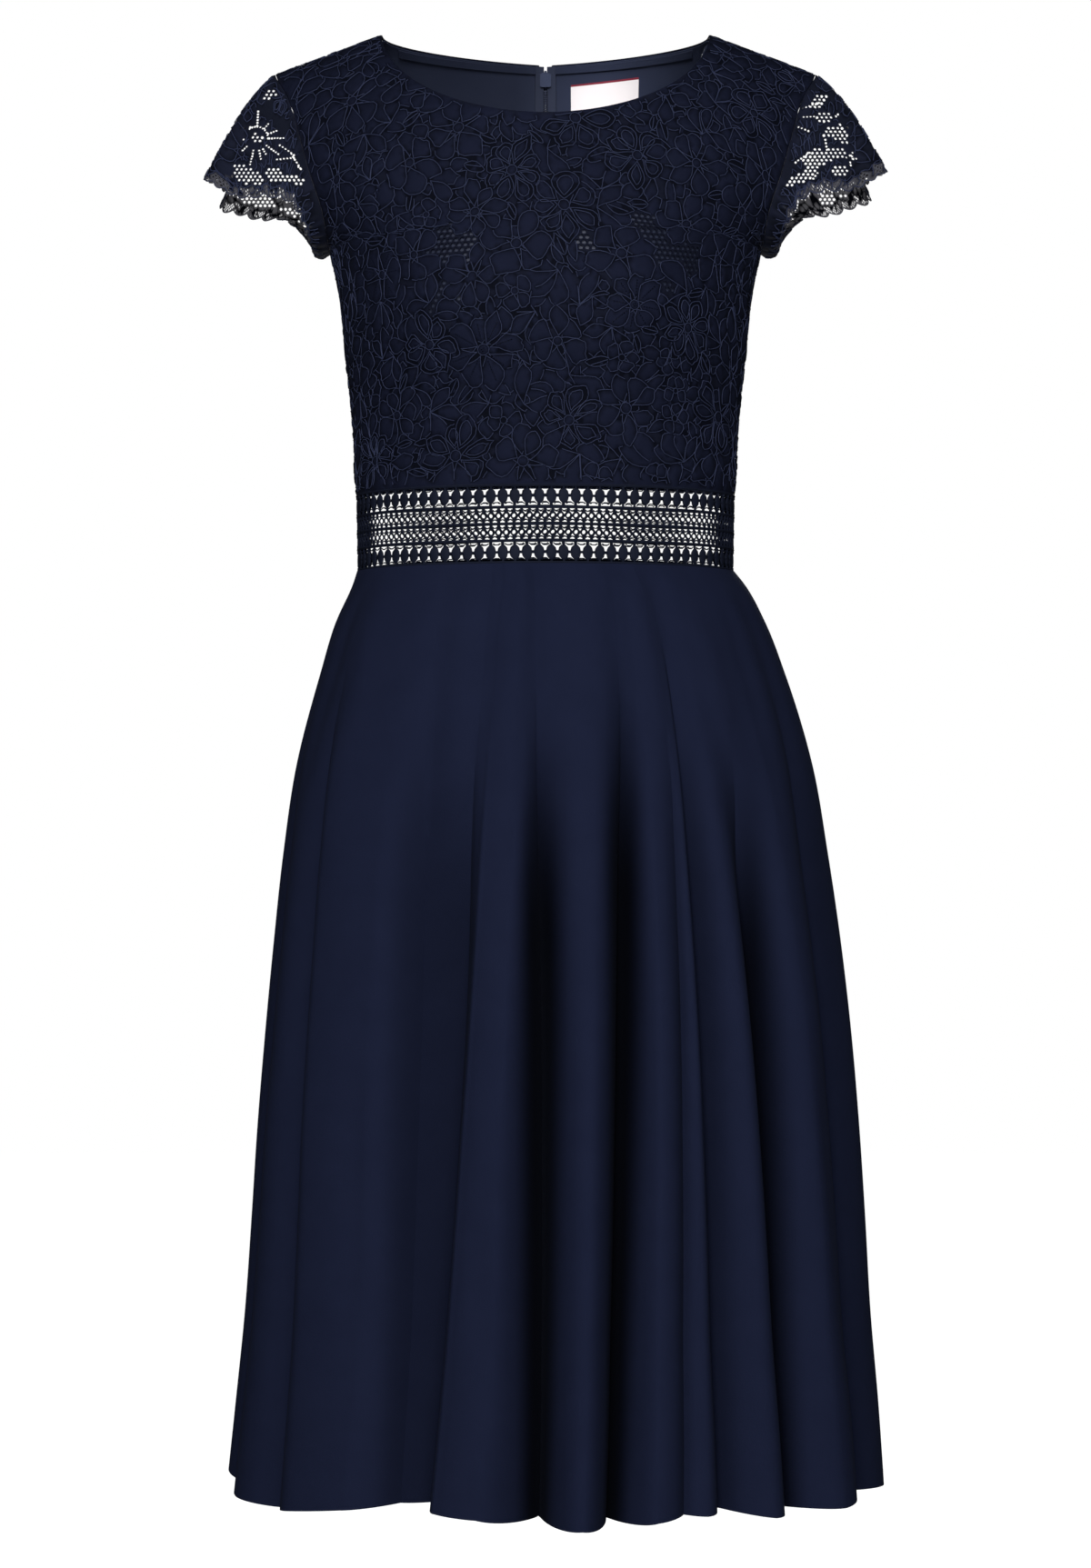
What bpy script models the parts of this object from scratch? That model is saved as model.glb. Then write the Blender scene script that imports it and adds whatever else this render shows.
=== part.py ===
"""A knee-length cocktail dress, filled out as it is worn.

It has a lace bodice over a lining, lace cap sleeves, an open lace waistband and a flared skirt, with a
concealed zip at the centre back. Metres, +Z up. The origin lies midway between the shoulder seams. The front
faces -Y, and the wearer's left is at +X.
"""

import math

import bpy
import numpy as np

# Cloth and seams.
SEAM = 0.0003
LACE = 0.0012
LINING = 0.0010
LINING_GAP = 0.0011
SKIRT_CLOTH = 0.0014
BAND_LACE = 0.0012

# Neck, shoulders and armholes.
SHOULDER_TIP = 0.190
SHOULDER_TIP_Z = -0.014
SHOULDER_SLOPE = 0.365
NECK_HALF = 0.1146
NECK_POINT_Z = 0.013
FRONT_NECK_Z = -0.061
BACK_NECK_Z = 0.008
SHOULDER_ROLL = 0.110
ROLL_POWER = 1.7
UNDERARM_Z = -0.140
ARMHOLE_ROUND = 0.040
ARMHOLE_REACH = {-1: 0.052, 1: 0.056}

# Waistband and skirt heights. The waist rises towards the centre back.
WAIST_TOP = -0.311
WAIST_BOTTOM = -0.364
BACK_RISE = 0.0145
HEM_Z = -1.004

# The torso form. The half width is at the side seam, and above the underarm at the armhole.
TORSO = {
    "z": (-0.364, -0.311, -0.256, -0.205, -0.170, -0.140, -0.119, -0.094, -0.066, -0.036, -0.014, 0.013),
    "half_width": (0.132, 0.133, 0.135, 0.141, 0.145, 0.151, 0.154, 0.162, 0.170, 0.179, 0.190, 0.190),
    "front": (0.098, 0.098, 0.104, 0.117, 0.121, 0.116, 0.112, 0.107, 0.101, 0.097, 0.096, 0.096),
    "back": (0.089, 0.088, 0.092, 0.098, 0.102, 0.105, 0.106, 0.106, 0.104, 0.101, 0.098, 0.096),
}
BUST = {"x": 0.076, "z": -0.188, "spread_x": 0.046, "spread_z": 0.052, "height": 0.008}

# Rows of the bodice, as shares of the way up each column, and columns by their place on the top edge.
UNDERARM_SHARE = (UNDERARM_Z - WAIST_TOP) / (SHOULDER_TIP_Z - WAIST_TOP)
BODICE_ROWS = (0.0, 0.19, 0.37, 0.49, UNDERARM_SHARE, 0.62, 0.69, 0.79, 0.88, 0.95, 0.985, 1.0)
SHOULDER_COLUMNS = (0.190, 0.177, 0.158, 0.137, 0.1146)
NECK_COLUMNS = (0.111, 0.100, 0.080, 0.045, 0.0)

# Zip, facing and label.
ZIP_OPEN_BELOW = 0.020
ZIP_OPEN_HALF = 0.0048
ZIP_OPEN_POWER = 1.5
ZIP_BOTTOM = -0.292
TAPE_INNER = 0.0018
TAPE_OUTER = 0.0082
LINING_EDGE = 0.0085
COIL_HALF = 0.0020
COIL_THICK = 0.0016
COIL_TOP = -0.0065
FACING_DEEP = 0.0035
FACING_END = 0.106
LABEL = {
    "distances": (0.0195, 0.032, 0.045, 0.057, 0.0685),
    "heights": (-0.034, -0.025, -0.015, -0.0045),
}
LABEL_SLACK = 0.1

# Zip slider and pull, in the zip's own frame: how far down along the cloth, and how far out of it. The bridge
# is a ring seen from the side, with a stem that reaches in to the plate. The pull hinges in the ring.
SLIDER_Z = 0.001
BRIDGE_HALF = 0.0009
BRIDGE_RING = {
    "along": (-0.0032, 0.0032, 0.0032, 0.0014, 0.0014, -0.0014, -0.0014, -0.0032),
    "out": (0.0037, 0.0037, 0.0003, 0.0003, -0.0048, -0.0048, 0.0003, 0.0003),
}
BRIDGE_HOLE = {
    "along": (-0.0023, 0.0023, 0.0023, 0.0009, 0.0003, -0.0003, -0.0009, -0.0023),
    "out": (0.0029, 0.0029, 0.0009, 0.0009, 0.0009, 0.0009, 0.0009, 0.0009),
}
PLATE_DEPTHS = (-0.0044, -0.0064)
PLATE = {
    "across": (-0.0040, -0.0010, 0.0010, 0.0040, 0.0040, 0.0026, -0.0026, -0.0040),
    "along": (-0.0039, -0.0054, -0.0054, -0.0039, 0.0046, 0.0052, 0.0052, 0.0046),
}
PULL_AXIS_OUT = 0.0019
PULL_HALF = 0.00045
PULL = {
    "across": (-0.0025, 0.0025, 0.0025, 0.0031, 0.0019, -0.0019, -0.0031, -0.0025),
    "along": (-PULL_HALF, -PULL_HALF, 0.0070, 0.0170, 0.0225, 0.0225, 0.0170, 0.0070),
}
PULL_EYE = {
    "across": (-0.0017, 0.0017, 0.0017, 0.0013, 0.0005, -0.0005, -0.0013, -0.0017),
    "along": (PULL_HALF, PULL_HALF, 0.0046, 0.0060, 0.0064, 0.0064, 0.0060, 0.0046),
}

# Cap sleeve. The hem's points go round from the underarm, over the front, the tip and the back.
SLEEVE_GAP = 0.0004
SCALLOPS = 26
SCALLOP_DEEP = 0.0025
SLEEVE_LENGTH = 0.085
SLEEVE_BULGE = 0.0062
BULGE_HIGH = 0.75
BULGE_DROP = 0.2
SLEEVE_ROWS = (0.0, 0.3, 0.62, 1.0)
LEFT_SLEEVE_LIFT = 0.005
SLEEVE_HEM = {
    "round": (0.0, 0.1, 0.22, 0.33, 0.42, 0.465, 0.5, 0.545, 0.62, 0.7, 0.79, 0.88, 0.95, 1.0),
    "x": (0.160, 0.163, 0.173, 0.190, 0.215, 0.2355, 0.225, 0.232, 0.219, 0.205, 0.187, 0.173, 0.162, 0.160),
    "y": (0.0, -0.038, -0.055, -0.060, -0.050, -0.032, 0.006, 0.045, 0.060, 0.066, 0.062, 0.048, 0.028, 0.0),
    "drop": (0.138, 0.13, 0.112, 0.108, 0.105, 0.091, 0.093, 0.097, 0.1, 0.103, 0.105, 0.118, 0.132, 0.138),
}

# Open lace band: a repeat has an oval on a thread near each edge, and the gap between ovals is cut through.
REPEATS_A_SIDE = 44
OVAL_HALF = 0.0026
THREAD_HALF = 0.0006
HALF_WAIST = 0.358
BAND_LINES = (
    # distance below the band's top edge, half width of the solid column there
    (0.0000, THREAD_HALF),
    (0.0012, THREAD_HALF),
    (0.0076, OVAL_HALF),
    (0.0146, THREAD_HALF),
    (0.0384, THREAD_HALF),
    (0.0457, OVAL_HALF),
    (0.0518, THREAD_HALF),
    (0.0530, THREAD_HALF),
)
GAP_ROWS = (1, 2, 5, 6)

# Skirt form: half widths to each side and depths, down to the hem.
SKIRT = {
    "z": (-1.004, -0.947, -0.883, -0.819, -0.755, -0.691, -0.627, -0.563, -0.499, -0.435, -0.4, -0.372, -0.364),
    "half_width": (0.226, 0.221, 0.215, 0.211, 0.207, 0.202, 0.196, 0.189, 0.18, 0.163, 0.151, 0.141, 0.1325),
    "centre": (0.006, 0.007, 0.0075, 0.008, 0.008, 0.008, 0.0075, 0.0065, 0.006, 0.005, 0.0035, 0.002, 0.0),
    "front": (0.166, 0.163, 0.160, 0.157, 0.154, 0.151, 0.147, 0.142, 0.134, 0.122, 0.113, 0.105, 0.0985),
    "back": (0.170, 0.166, 0.162, 0.158, 0.154, 0.149, 0.144, 0.137, 0.128, 0.114, 0.104, 0.096, 0.0895),
}
FOLD_GROWTH = 0.13
FOLD_ROUNDNESS = 0.75
FOLD_STEPS = (0.0, 0.3, 0.65)
SKIRT_ROWS = (0.0, 0.0126, 0.045, 0.11, 0.19, 0.28, 0.39, 0.52, 0.67, 0.83, 1.0)

# Folds round the skirt from the wearer's right side seam, over the front. Ridges and valleys take turns.
FOLDS = (
    # degrees, reach out of the form at the hem, height where the fold starts, rise of the hem there
    (-90.0, 0.004, -0.430, 0.009),
    (-79.0, -0.010, -0.430, 0.004),
    (-66.0, 0.008, -0.430, 0.000),
    (-52.0, -0.011, -0.440, 0.001),
    (-43.5, 0.011, -0.450, 0.006),
    (-35.0, -0.010, -0.470, 0.010),
    (-27.0, -0.005, -0.480, 0.013),
    (-19.8, -0.018, -0.480, 0.012),
    (-11.8, 0.015, -0.480, 0.011),
    (-2.8, -0.027, -0.440, 0.003),
    (4.2, 0.017, -0.440, 0.005),
    (10.8, -0.027, -0.440, 0.002),
    (16.6, 0.013, -0.450, 0.008),
    (22.2, -0.011, -0.450, 0.010),
    (25.6, -0.007, -0.450, 0.009),
    (30.0, -0.015, -0.440, 0.009),
    (35.6, 0.013, -0.430, 0.005),
    (42.4, -0.019, -0.430, 0.004),
    (52.5, 0.013, -0.400, 0.003),
    (64.0, -0.011, -0.430, 0.005),
    (90.0, 0.006, -0.430, -0.002),
    (105.0, -0.011, -0.440, 0.002),
    (120.0, 0.012, -0.440, 0.004),
    (131.0, -0.016, -0.450, 0.007),
    (140.0, 0.013, -0.450, 0.008),
    (149.0, -0.020, -0.460, 0.006),
    (158.0, 0.015, -0.440, 0.003),
    (167.0, -0.022, -0.440, 0.005),
    (176.0, 0.014, -0.440, 0.008),
    (185.0, -0.024, -0.440, 0.007),
    (193.5, 0.015, -0.450, 0.004),
    (202.0, -0.016, -0.450, 0.002),
    (211.0, 0.012, -0.440, 0.005),
    (221.0, -0.020, -0.440, 0.008),
    (233.0, 0.013, -0.430, 0.010),
    (249.0, -0.011, -0.430, 0.008),
    (270.0, 0.004, -0.430, 0.009),
)

FRONT, BACK = -1, 1
STEP = 0.004
SHARP = math.radians(50)
SETTLE_ROUNDS = 12
WAIST_SAMPLES = 1441


def finish(name, colour, roughness, metallic=0.0, sheen=0.0):
    """Make a Principled material from a linear colour."""
    material = bpy.data.materials.new(name)
    material.use_nodes = True
    shader = material.node_tree.nodes["Principled BSDF"]
    shader.inputs["Base Color"].default_value = (*colour, 1.0)
    shader.inputs["Roughness"].default_value = roughness
    shader.inputs["Metallic"].default_value = metallic
    shader.inputs["Sheen Weight"].default_value = sheen
    material.diffuse_color = (*colour, 1.0)
    return material


def read(table, column, places):
    """Read a column of a table along a smooth curve through its rows, at one place or an array of places."""
    knots = np.asarray(next(iter(table.values())), float)
    values = np.asarray(table[column], float)
    slopes = np.gradient(values, knots)
    places = np.clip(places, knots[0], knots[-1])
    low = np.clip(np.searchsorted(knots, places) - 1, 0, len(knots) - 2)
    span = knots[low + 1] - knots[low]
    t = (places - knots[low]) / span
    return (
        values[low] * (1 + 2 * t) * (1 - t) ** 2
        + values[low + 1] * t**2 * (3 - 2 * t)
        + slopes[low] * span * t * (1 - t) ** 2
        - slopes[low + 1] * span * t**2 * (1 - t)
    )


def unit(vectors):
    """Scale each vector of an array to length 1."""
    return vectors / np.maximum(np.linalg.norm(vectors, axis=-1, keepdims=True), 1e-12)


def add_object(name, points, faces, material):
    """Make a mesh object, smooth but for its sharp edges."""
    mesh = bpy.data.meshes.new(name)
    mesh.from_pydata([tuple(map(float, p)) for p in points], [], faces)
    mesh.materials.append(material)
    mesh.shade_smooth()
    mesh.set_sharp_from_angle(angle=SHARP)
    piece = bpy.data.objects.new(name, mesh)
    bpy.context.scene.collection.objects.link(piece)
    return piece


def add_wall(name, outer, inner, material, closed_round=False, gaps=()):
    """Make one closed wall between two grids of points that match; each gap is a cell that stays open."""
    rows, columns = outer.shape[:2]
    layer = rows * columns
    across = columns if closed_round else columns - 1
    cells = {(r, c) for r in range(rows - 1) for c in range(across)} - set(gaps)

    def corner(row, column):
        return row * columns + column % columns

    faces = []
    for r, c in sorted(cells):
        quad = [corner(r, c), corner(r, c + 1), corner(r + 1, c + 1), corner(r + 1, c)]
        for half in (quad[:3], [quad[0], *quad[2:]]):
            faces.append(half)
            faces.append([layer + i for i in reversed(half)])
        for side, beside in enumerate(((r - 1, c), (r, c + 1), (r + 1, c), (r, c - 1))):
            if closed_round:
                beside = (beside[0], beside[1] % columns)
            if beside not in cells:
                a, b = quad[side], quad[(side + 1) % 4]
                faces.append([b, a, layer + a, layer + b])
    points = np.concatenate([outer.reshape(-1, 3), inner.reshape(-1, 3)])
    a, b, d = (outer[0, 0], outer[0, 1], outer[1, 0])
    if np.dot(np.cross(b - a, d - a), outer[0, 0] - inner[0, 0]) < 0:
        faces = [face[::-1] for face in faces]
    return add_object(name, points, faces, material)


# ---------------------------------------------------------------- torso form


def ridge_z(x):
    """Height of the line along the top of the shoulder."""
    return NECK_POINT_Z - SHOULDER_SLOPE * (np.abs(x) - NECK_HALF)


def edge_angle(z, face):
    """Angle round the torso, from the centre line, of the side seam or of the armhole."""
    depth = read(TORSO, "front" if face == FRONT else "back", z)
    rise = np.clip((z - UNDERARM_Z) / ARMHOLE_ROUND, 0.0, 1.0)
    reach = ARMHOLE_REACH[face] * np.sqrt(1 - (1 - rise) ** 2)
    return np.arccos(reach / depth)


def torso_x(u, z, face):
    """Distance from the centre line, for u from 0 there to 1 at the side seam or armhole."""
    angle = edge_angle(z, face)
    return read(TORSO, "half_width", z) * np.sin(u * angle) / np.sin(angle)


def torso_y(u, z, face):
    """Signed depth of the torso form."""
    x = torso_x(u, z, face)
    angle = edge_angle(z, face)
    depth = read(TORSO, "front" if face == FRONT else "back", z)
    below = np.clip((ridge_z(x) - z) / SHOULDER_ROLL, 0.0, 1.0)
    roll = (1 - (1 - below) ** ROLL_POWER) ** (1 / ROLL_POWER)
    out = depth * roll * np.cos(u * angle)
    if face == FRONT:
        across = (np.abs(x) - BUST["x"]) / BUST["spread_x"]
        up = (z - BUST["z"]) / BUST["spread_z"]
        out = out + BUST["height"] * np.exp(-(across**2) - up**2)
    return face * out


def neckline_z(x, face):
    """Height of the neck edge."""
    share = np.clip(np.abs(x) / NECK_HALF, 0.0, 1.0)
    low = FRONT_NECK_Z if face == FRONT else BACK_NECK_Z
    return low + (NECK_POINT_Z - low) * (1 - np.sqrt(1 - share**2))


def top_z(u, face):
    """Height of the neckline and shoulder seam, settled by repeating because the width changes with it."""
    z = np.full_like(np.asarray(u, float), 0.0)
    for _ in range(SETTLE_ROUNDS):
        x = torso_x(np.abs(u), z, face)
        z = np.where(x < NECK_HALF, neckline_z(x, face), ridge_z(x))
    return z


def waist_rise(angle, face):
    """How far the waist seam rises above its height at the sides, at an angle from the centre line."""
    return BACK_RISE * np.maximum(np.cos(angle), 0.0) if face == BACK else 0.0 * angle


def bodice_point(u, v, face):
    """Point of the bodice: u from -1 to 1 across, v from 0 at the waist seam to 1 at the top edge."""
    u = np.asarray(u, float)
    low = WAIST_TOP + waist_rise(np.clip(u, -1.0, 1.0) * math.pi / 2, face)
    z = low + (top_z(u, face) - low) * v
    x = np.sign(u) * torso_x(np.abs(u), z, face)
    y = torso_y(np.abs(u), z, face)
    return np.stack([x, y, z + 0 * x], axis=-1)


def bodice_normal(u, v, face):
    """Unit normal of the bodice, facing out."""
    across = bodice_point(u + STEP, v, face) - bodice_point(u - STEP, v, face)
    up = bodice_point(u, v + STEP, face) - bodice_point(u, v - STEP, face)
    normal = unit(np.cross(across, up)) * (1 if face == FRONT else -1)
    on_shoulder = (v > 1 - STEP) & (np.abs(bodice_point(u, v, face)[..., 1]) < STEP)
    on_side = (np.abs(u) > 1 - STEP) & (v < UNDERARM_SHARE + STEP)
    normal[on_shoulder | on_side, 1] = 0.0
    return unit(normal)


def u_at(x, z, face):
    """The u that lies at a distance from the centre line, at a height."""
    angle = edge_angle(np.asarray(z, float), face)
    share = np.asarray(x) * np.sin(angle) / read(TORSO, "half_width", np.asarray(z, float))
    return np.arcsin(np.minimum(share, 1.0)) / angle


def panel_grid(face, first_columns=()):
    """Outer points and normals of a bodice panel, whole, or from its own first columns out to the side."""
    shares = u_at(np.array(NECK_COLUMNS[::-1] + SHOULDER_COLUMNS[::-1]), SHOULDER_TIP_Z, face)
    rows = np.array(BODICE_ROWS)[:, None]
    if first_columns:
        u = np.concatenate([np.stack(first_columns, axis=1), shares[1:] + 0 * rows], axis=1)
    else:
        u = np.concatenate([-shares[:0:-1], shares]) + 0 * rows
    v = rows + 0 * u
    points = bodice_point(u, v, face)
    points[..., 1] = face * np.maximum(np.abs(points[..., 1]), SEAM / 2)
    return points, bodice_normal(u, v, face)


def layer(points, normals, depth, thickness):
    """Outer and inner points of a cloth layer that lies this far inside the outer surface."""
    return points - normals * depth, points - normals * (depth + thickness)


def centre_heights():
    """Heights of the back panels' rows at the centre back."""
    low = WAIST_TOP + BACK_RISE
    return low + (BACK_NECK_Z - low) * np.array(BODICE_ROWS)


def centre_share(z):
    """Share of the way up the back at the centre line."""
    low = WAIST_TOP + BACK_RISE
    return (z - low) / (BACK_NECK_Z - low)


def zip_edge_u():
    """Where each row of a back panel starts: at the zip, and curling apart near the neck."""
    z = centre_heights()
    apart = np.clip((z - (BACK_NECK_Z - ZIP_OPEN_BELOW)) / ZIP_OPEN_BELOW, 0.0, 1.0)
    return u_at(SEAM / 2 + (ZIP_OPEN_HALF - SEAM / 2) * apart**ZIP_OPEN_POWER, z, BACK)


def between_rows(grid, share):
    """Points or normals at a share of the way up, on the straight lines between the bodice's rows."""
    low = min(max(np.searchsorted(BODICE_ROWS, share) - 1, 0), len(BODICE_ROWS) - 2)
    part = (share - BODICE_ROWS[low]) / (BODICE_ROWS[low + 1] - BODICE_ROWS[low])
    return grid[low] * (1 - part) + grid[low + 1] * part


def back_strip(distances, shares, depth, thickness):
    """Outer and inner grids of a strip inside the back, at distances from its centre and shares of its height."""
    z = centre_heights()
    u = np.stack([u_at(np.full(len(z), x), z, BACK) for x in distances], axis=1)
    v = np.array(BODICE_ROWS)[:, None] + 0 * u
    points, normals = bodice_point(u, v, BACK), bodice_normal(u, v, BACK)
    surface = np.array([between_rows(points, share) for share in shares])
    out = np.array([between_rows(normals, share) for share in shares])
    return layer(surface, out, depth, thickness)


def mirrored(points):
    """The same points on the other side of the centre line."""
    return points * np.array([-1.0, 1.0, 1.0])


def build_bodice(lace, lining):
    """Build the lace front and backs, and their linings."""
    points, normals = panel_grid(FRONT)
    add_wall("bodice_front", *layer(points, normals, 0.0, LACE), lace)
    inside = LACE + LINING_GAP
    add_wall("lining_front", *layer(points, normals, inside, LINING), lining)

    lining_side = u_at(LINING_EDGE, centre_heights(), BACK)
    points, normals = panel_grid(BACK, (zip_edge_u(), lining_side))
    for name, turn in (("left", np.copy), ("right", mirrored)):
        outer, inner = layer(points, normals, 0.0, LACE)
        add_wall(f"bodice_back_{name}", turn(outer), turn(inner), lace)

    points, normals = panel_grid(BACK, (lining_side,))
    for name, turn in (("left", np.copy), ("right", mirrored)):
        outer, inner = layer(points, normals, inside, LINING)
        add_wall(f"lining_back_{name}", turn(outer), turn(inner), lining)


def build_neck_facing(material):
    """Build the narrow strip inside the back neck edge, in two halves beside the zip."""
    distances = (LINING_EDGE, *NECK_COLUMNS[3:0:-1], FACING_END)
    shares = (centre_share(BACK_NECK_Z - FACING_DEEP), 1.0)
    strip = back_strip(distances, shares, LACE + LINING_GAP + LINING + LINING_GAP, LINING)
    for name, turn in (("left", np.copy), ("right", mirrored)):
        add_wall(f"neck_facing_{name}", turn(strip[0]), turn(strip[1]), material)


# ---------------------------------------------------------------- zip and label


def back_centre(z):
    """Point of the back's centre line at a height."""
    return np.array([0.0, float(torso_y(np.asarray(0.0), np.asarray(z), BACK)), z])


def slider_place(across, along, out):
    """Point in the zip slider's frame: across the zip, down along the cloth and out of it."""
    down = unit(back_centre(SLIDER_Z - STEP) - back_centre(SLIDER_Z + STEP))
    outward = np.array([0.0, -down[2], down[1]])
    return back_centre(SLIDER_Z) + np.array([across, 0.0, 0.0]) + down * along + outward * out


def build_zip(tape, metal):
    """Build the zip's tapes and coil, the slider, and the pull tab that hinges on it."""
    low, high = centre_share(ZIP_BOTTOM), centre_share(COIL_TOP)
    depth = LACE + LINING_GAP
    strip = back_strip((TAPE_INNER, TAPE_OUTER), (low, *BODICE_ROWS[1:]), depth, LINING)
    for name, turn in (("left", np.copy), ("right", mirrored)):
        add_wall(f"zip_tape_{name}", turn(strip[0]), turn(strip[1]), tape)
    coil_shares = (low, *BODICE_ROWS[1:-3], high)
    half = back_strip((0.0, COIL_HALF), coil_shares, depth + LINING + SEAM, COIL_THICK)
    outer, inner = (np.concatenate([mirrored(grid[:, :0:-1]), grid[:, 1:]], axis=1) for grid in half)
    add_wall("zip_coil", outer, inner, tape)
    build_slider(metal)
    build_pull(metal)


def build_slider(material):
    """Build the slider: a bridge ring whose stem is joined to the plate inside the cloth."""
    sides = []
    for across in (-BRIDGE_HALF, BRIDGE_HALF):
        loops = [zip(loop["along"], loop["out"]) for loop in (BRIDGE_RING, BRIDGE_HOLE)]
        sides.append(np.array([[slider_place(across, along, out) for along, out in loop] for loop in loops]))
    slider = add_wall("zip_slider", *sides, material, closed_round=True)

    points = [
        slider_place(across, along, out)
        for out in PLATE_DEPTHS
        for across, along in zip(PLATE["across"], PLATE["along"])
    ]
    count = len(PLATE["across"])
    faces = [list(range(count))[::-1], list(range(count, 2 * count))]
    faces += [[i, (i + 1) % count, count + (i + 1) % count, count + i] for i in range(count)]
    plate = add_object("slider_plate", points, faces, material)
    plate.hide_render = True
    plate.display_type = "WIRE"
    join = slider.modifiers.new("plate", "BOOLEAN")
    join.operation = "UNION"
    join.object = plate


def build_pull(material):
    """Build the pull tab, whose top bar lies in the bridge, with its origin on its hinge axis."""
    axis = slider_place(0.0, 0.0, PULL_AXIS_OUT)
    sides = []
    for out in (PULL_AXIS_OUT + PULL_HALF, PULL_AXIS_OUT - PULL_HALF):
        loops = [zip(loop["across"], loop["along"]) for loop in (PULL, PULL_EYE)]
        face = [[slider_place(across, along, out) for across, along in loop] for loop in loops]
        sides.append(np.array(face) - axis)
    pull = add_wall("zip_pull", *sides, material, closed_round=True)
    pull.location = axis


def build_label(material):
    """Build the bare label, which hangs from its top edge inside the back."""
    heights = np.array(LABEL["heights"])
    depth = LACE + LINING_GAP + LINING + LINING_GAP
    outer, inner = back_strip(LABEL["distances"], centre_share(heights), depth, LINING)
    slack = LABEL_SLACK * (heights[-1] - heights)
    hang = slack[:, None, None] * np.array([0.0, -1.0, 0.0])
    add_wall("neck_label", outer + hang, inner + hang, material)


# ---------------------------------------------------------------- sleeves


def armhole_loop():
    """Points, normals and outward directions round the wearer's right armhole, through the panels' corners."""
    rows = [row for row in BODICE_ROWS if row >= UNDERARM_SHARE]
    corners, normals = [], []
    for face, order in ((FRONT, 1), (BACK, -1)):
        v = np.array(rows[::order])
        points = bodice_point(np.full(len(v), -1.0), v, face)
        corners.append(points)
        normals.append(bodice_normal(np.full(len(v), -1.0), v, face))
    corners = np.concatenate([corners[0], corners[1][1:]])
    normals = np.concatenate([normals[0], normals[1][1:]])
    steps = np.linalg.norm(np.diff(corners, axis=0), axis=1)
    counts = np.maximum(1, np.round(steps / steps.sum() * 2 * SCALLOPS)).astype(int)
    counts[np.argmax(counts)] += 2 * SCALLOPS - counts.sum()
    parts = [(low, step / count) for low, count in enumerate(counts) for step in range(count)]
    low = np.array([part[0] for part in parts])
    share = np.array([part[1] for part in parts])[:, None]
    points = corners[low] * (1 - share) + corners[low + 1] * share
    out = normals[low] * (1 - share) + normals[low + 1] * share
    tangents = unit(np.roll(points, -1, axis=0) - np.roll(points, 1, axis=0))
    return points, out, -unit(np.cross(tangents, out))


def sleeve_hem(count):
    """Points round the scalloped hem of the wearer's right sleeve."""
    places = np.arange(count) / count
    x, y, drop = (read(SLEEVE_HEM, column, places) for column in ("x", "y", "drop"))
    return np.stack([-x, y, -drop], axis=1)


def build_sleeves(material):
    """Build both cap sleeves; the wearer's left one sits a little higher."""
    top, top_normals, outward = armhole_loop()
    top = top + outward * SLEEVE_GAP
    hem = sleeve_hem(len(top))
    lengths = np.linalg.norm(hem - top, axis=1, keepdims=True)
    lift = lengths / SLEEVE_LENGTH * np.array([0.0, 0.0, LEFT_SLEEVE_LIFT])
    scallop = SCALLOP_DEEP * (np.arange(len(top)) % 2)[:, None]
    for name, rise, turn in (("right", 0.0 * lift, np.copy), ("left", lift, mirrored)):
        down = hem + rise - top
        low = hem + rise + unit(down) * scallop
        swell = unit(top_normals + unit(down) * BULGE_DROP) * SLEEVE_BULGE
        rings = np.array([top + (low - top) * r + swell * math.sin(math.pi * r**BULGE_HIGH) for r in SLEEVE_ROWS])
        around = np.roll(rings, -1, axis=1) - np.roll(rings, 1, axis=1)
        normals = unit(np.cross(around, np.gradient(rings, axis=0)))
        if np.mean(np.sum(normals[1] * top_normals, axis=1)) < 0:
            normals = -normals
        normals[0] = top_normals
        add_wall(f"sleeve_{name}", turn(rings), turn(rings - normals * LACE), material, closed_round=True)


# ---------------------------------------------------------------- waistband


def waist_points(shares, z, face):
    """Points and normals round half the waist, at shares of its length from the wearer's right."""
    half_width = float(read(TORSO, "half_width", z))
    depth = float(read(TORSO, "front" if face == FRONT else "back", z))
    angles = np.linspace(-math.pi / 2, math.pi / 2, WAIST_SAMPLES)
    line = np.stack([half_width * np.sin(angles), face * depth * np.cos(angles)], axis=1)
    along = np.concatenate([[0.0], np.cumsum(np.linalg.norm(np.diff(line, axis=0), axis=1))])
    angle = np.interp(np.asarray(shares) * along[-1], along, angles)
    height = z + waist_rise(angle, face)
    points = np.stack([half_width * np.sin(angle), face * depth * np.cos(angle), height], axis=1)
    normals = np.stack([np.sin(angle) / half_width, face * np.cos(angle) / depth, 0 * angle], axis=1)
    return points, unit(normals)


def build_waistband(material):
    """Build the front and back of the open lace band."""
    top = WAIST_TOP - 1.5 * SEAM
    pitch = 1.0 / REPEATS_A_SIDE
    between = [2 * k for k in range(1, REPEATS_A_SIDE)]
    for name, face in (("front", FRONT), ("back", BACK)):
        rows = []
        normals = []
        for below, half in BAND_LINES:
            shares = [SEAM / 2 / HALF_WAIST]
            for repeat in range(REPEATS_A_SIDE):
                centre = (repeat + 0.5) * pitch
                shares += [centre - half / HALF_WAIST, centre + half / HALF_WAIST]
            shares.append(1.0 - SEAM / 2 / HALF_WAIST)
            points, out = waist_points(shares, top - below, face)
            rows.append(points)
            normals.append(out)
        outer = np.array(rows)
        inner = outer - np.array(normals) * BAND_LACE
        gaps = [(row, column) for row in GAP_ROWS for column in between]
        add_wall(f"waist_lace_{name}", outer, inner, material, gaps=gaps)


# ---------------------------------------------------------------- skirt


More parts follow.
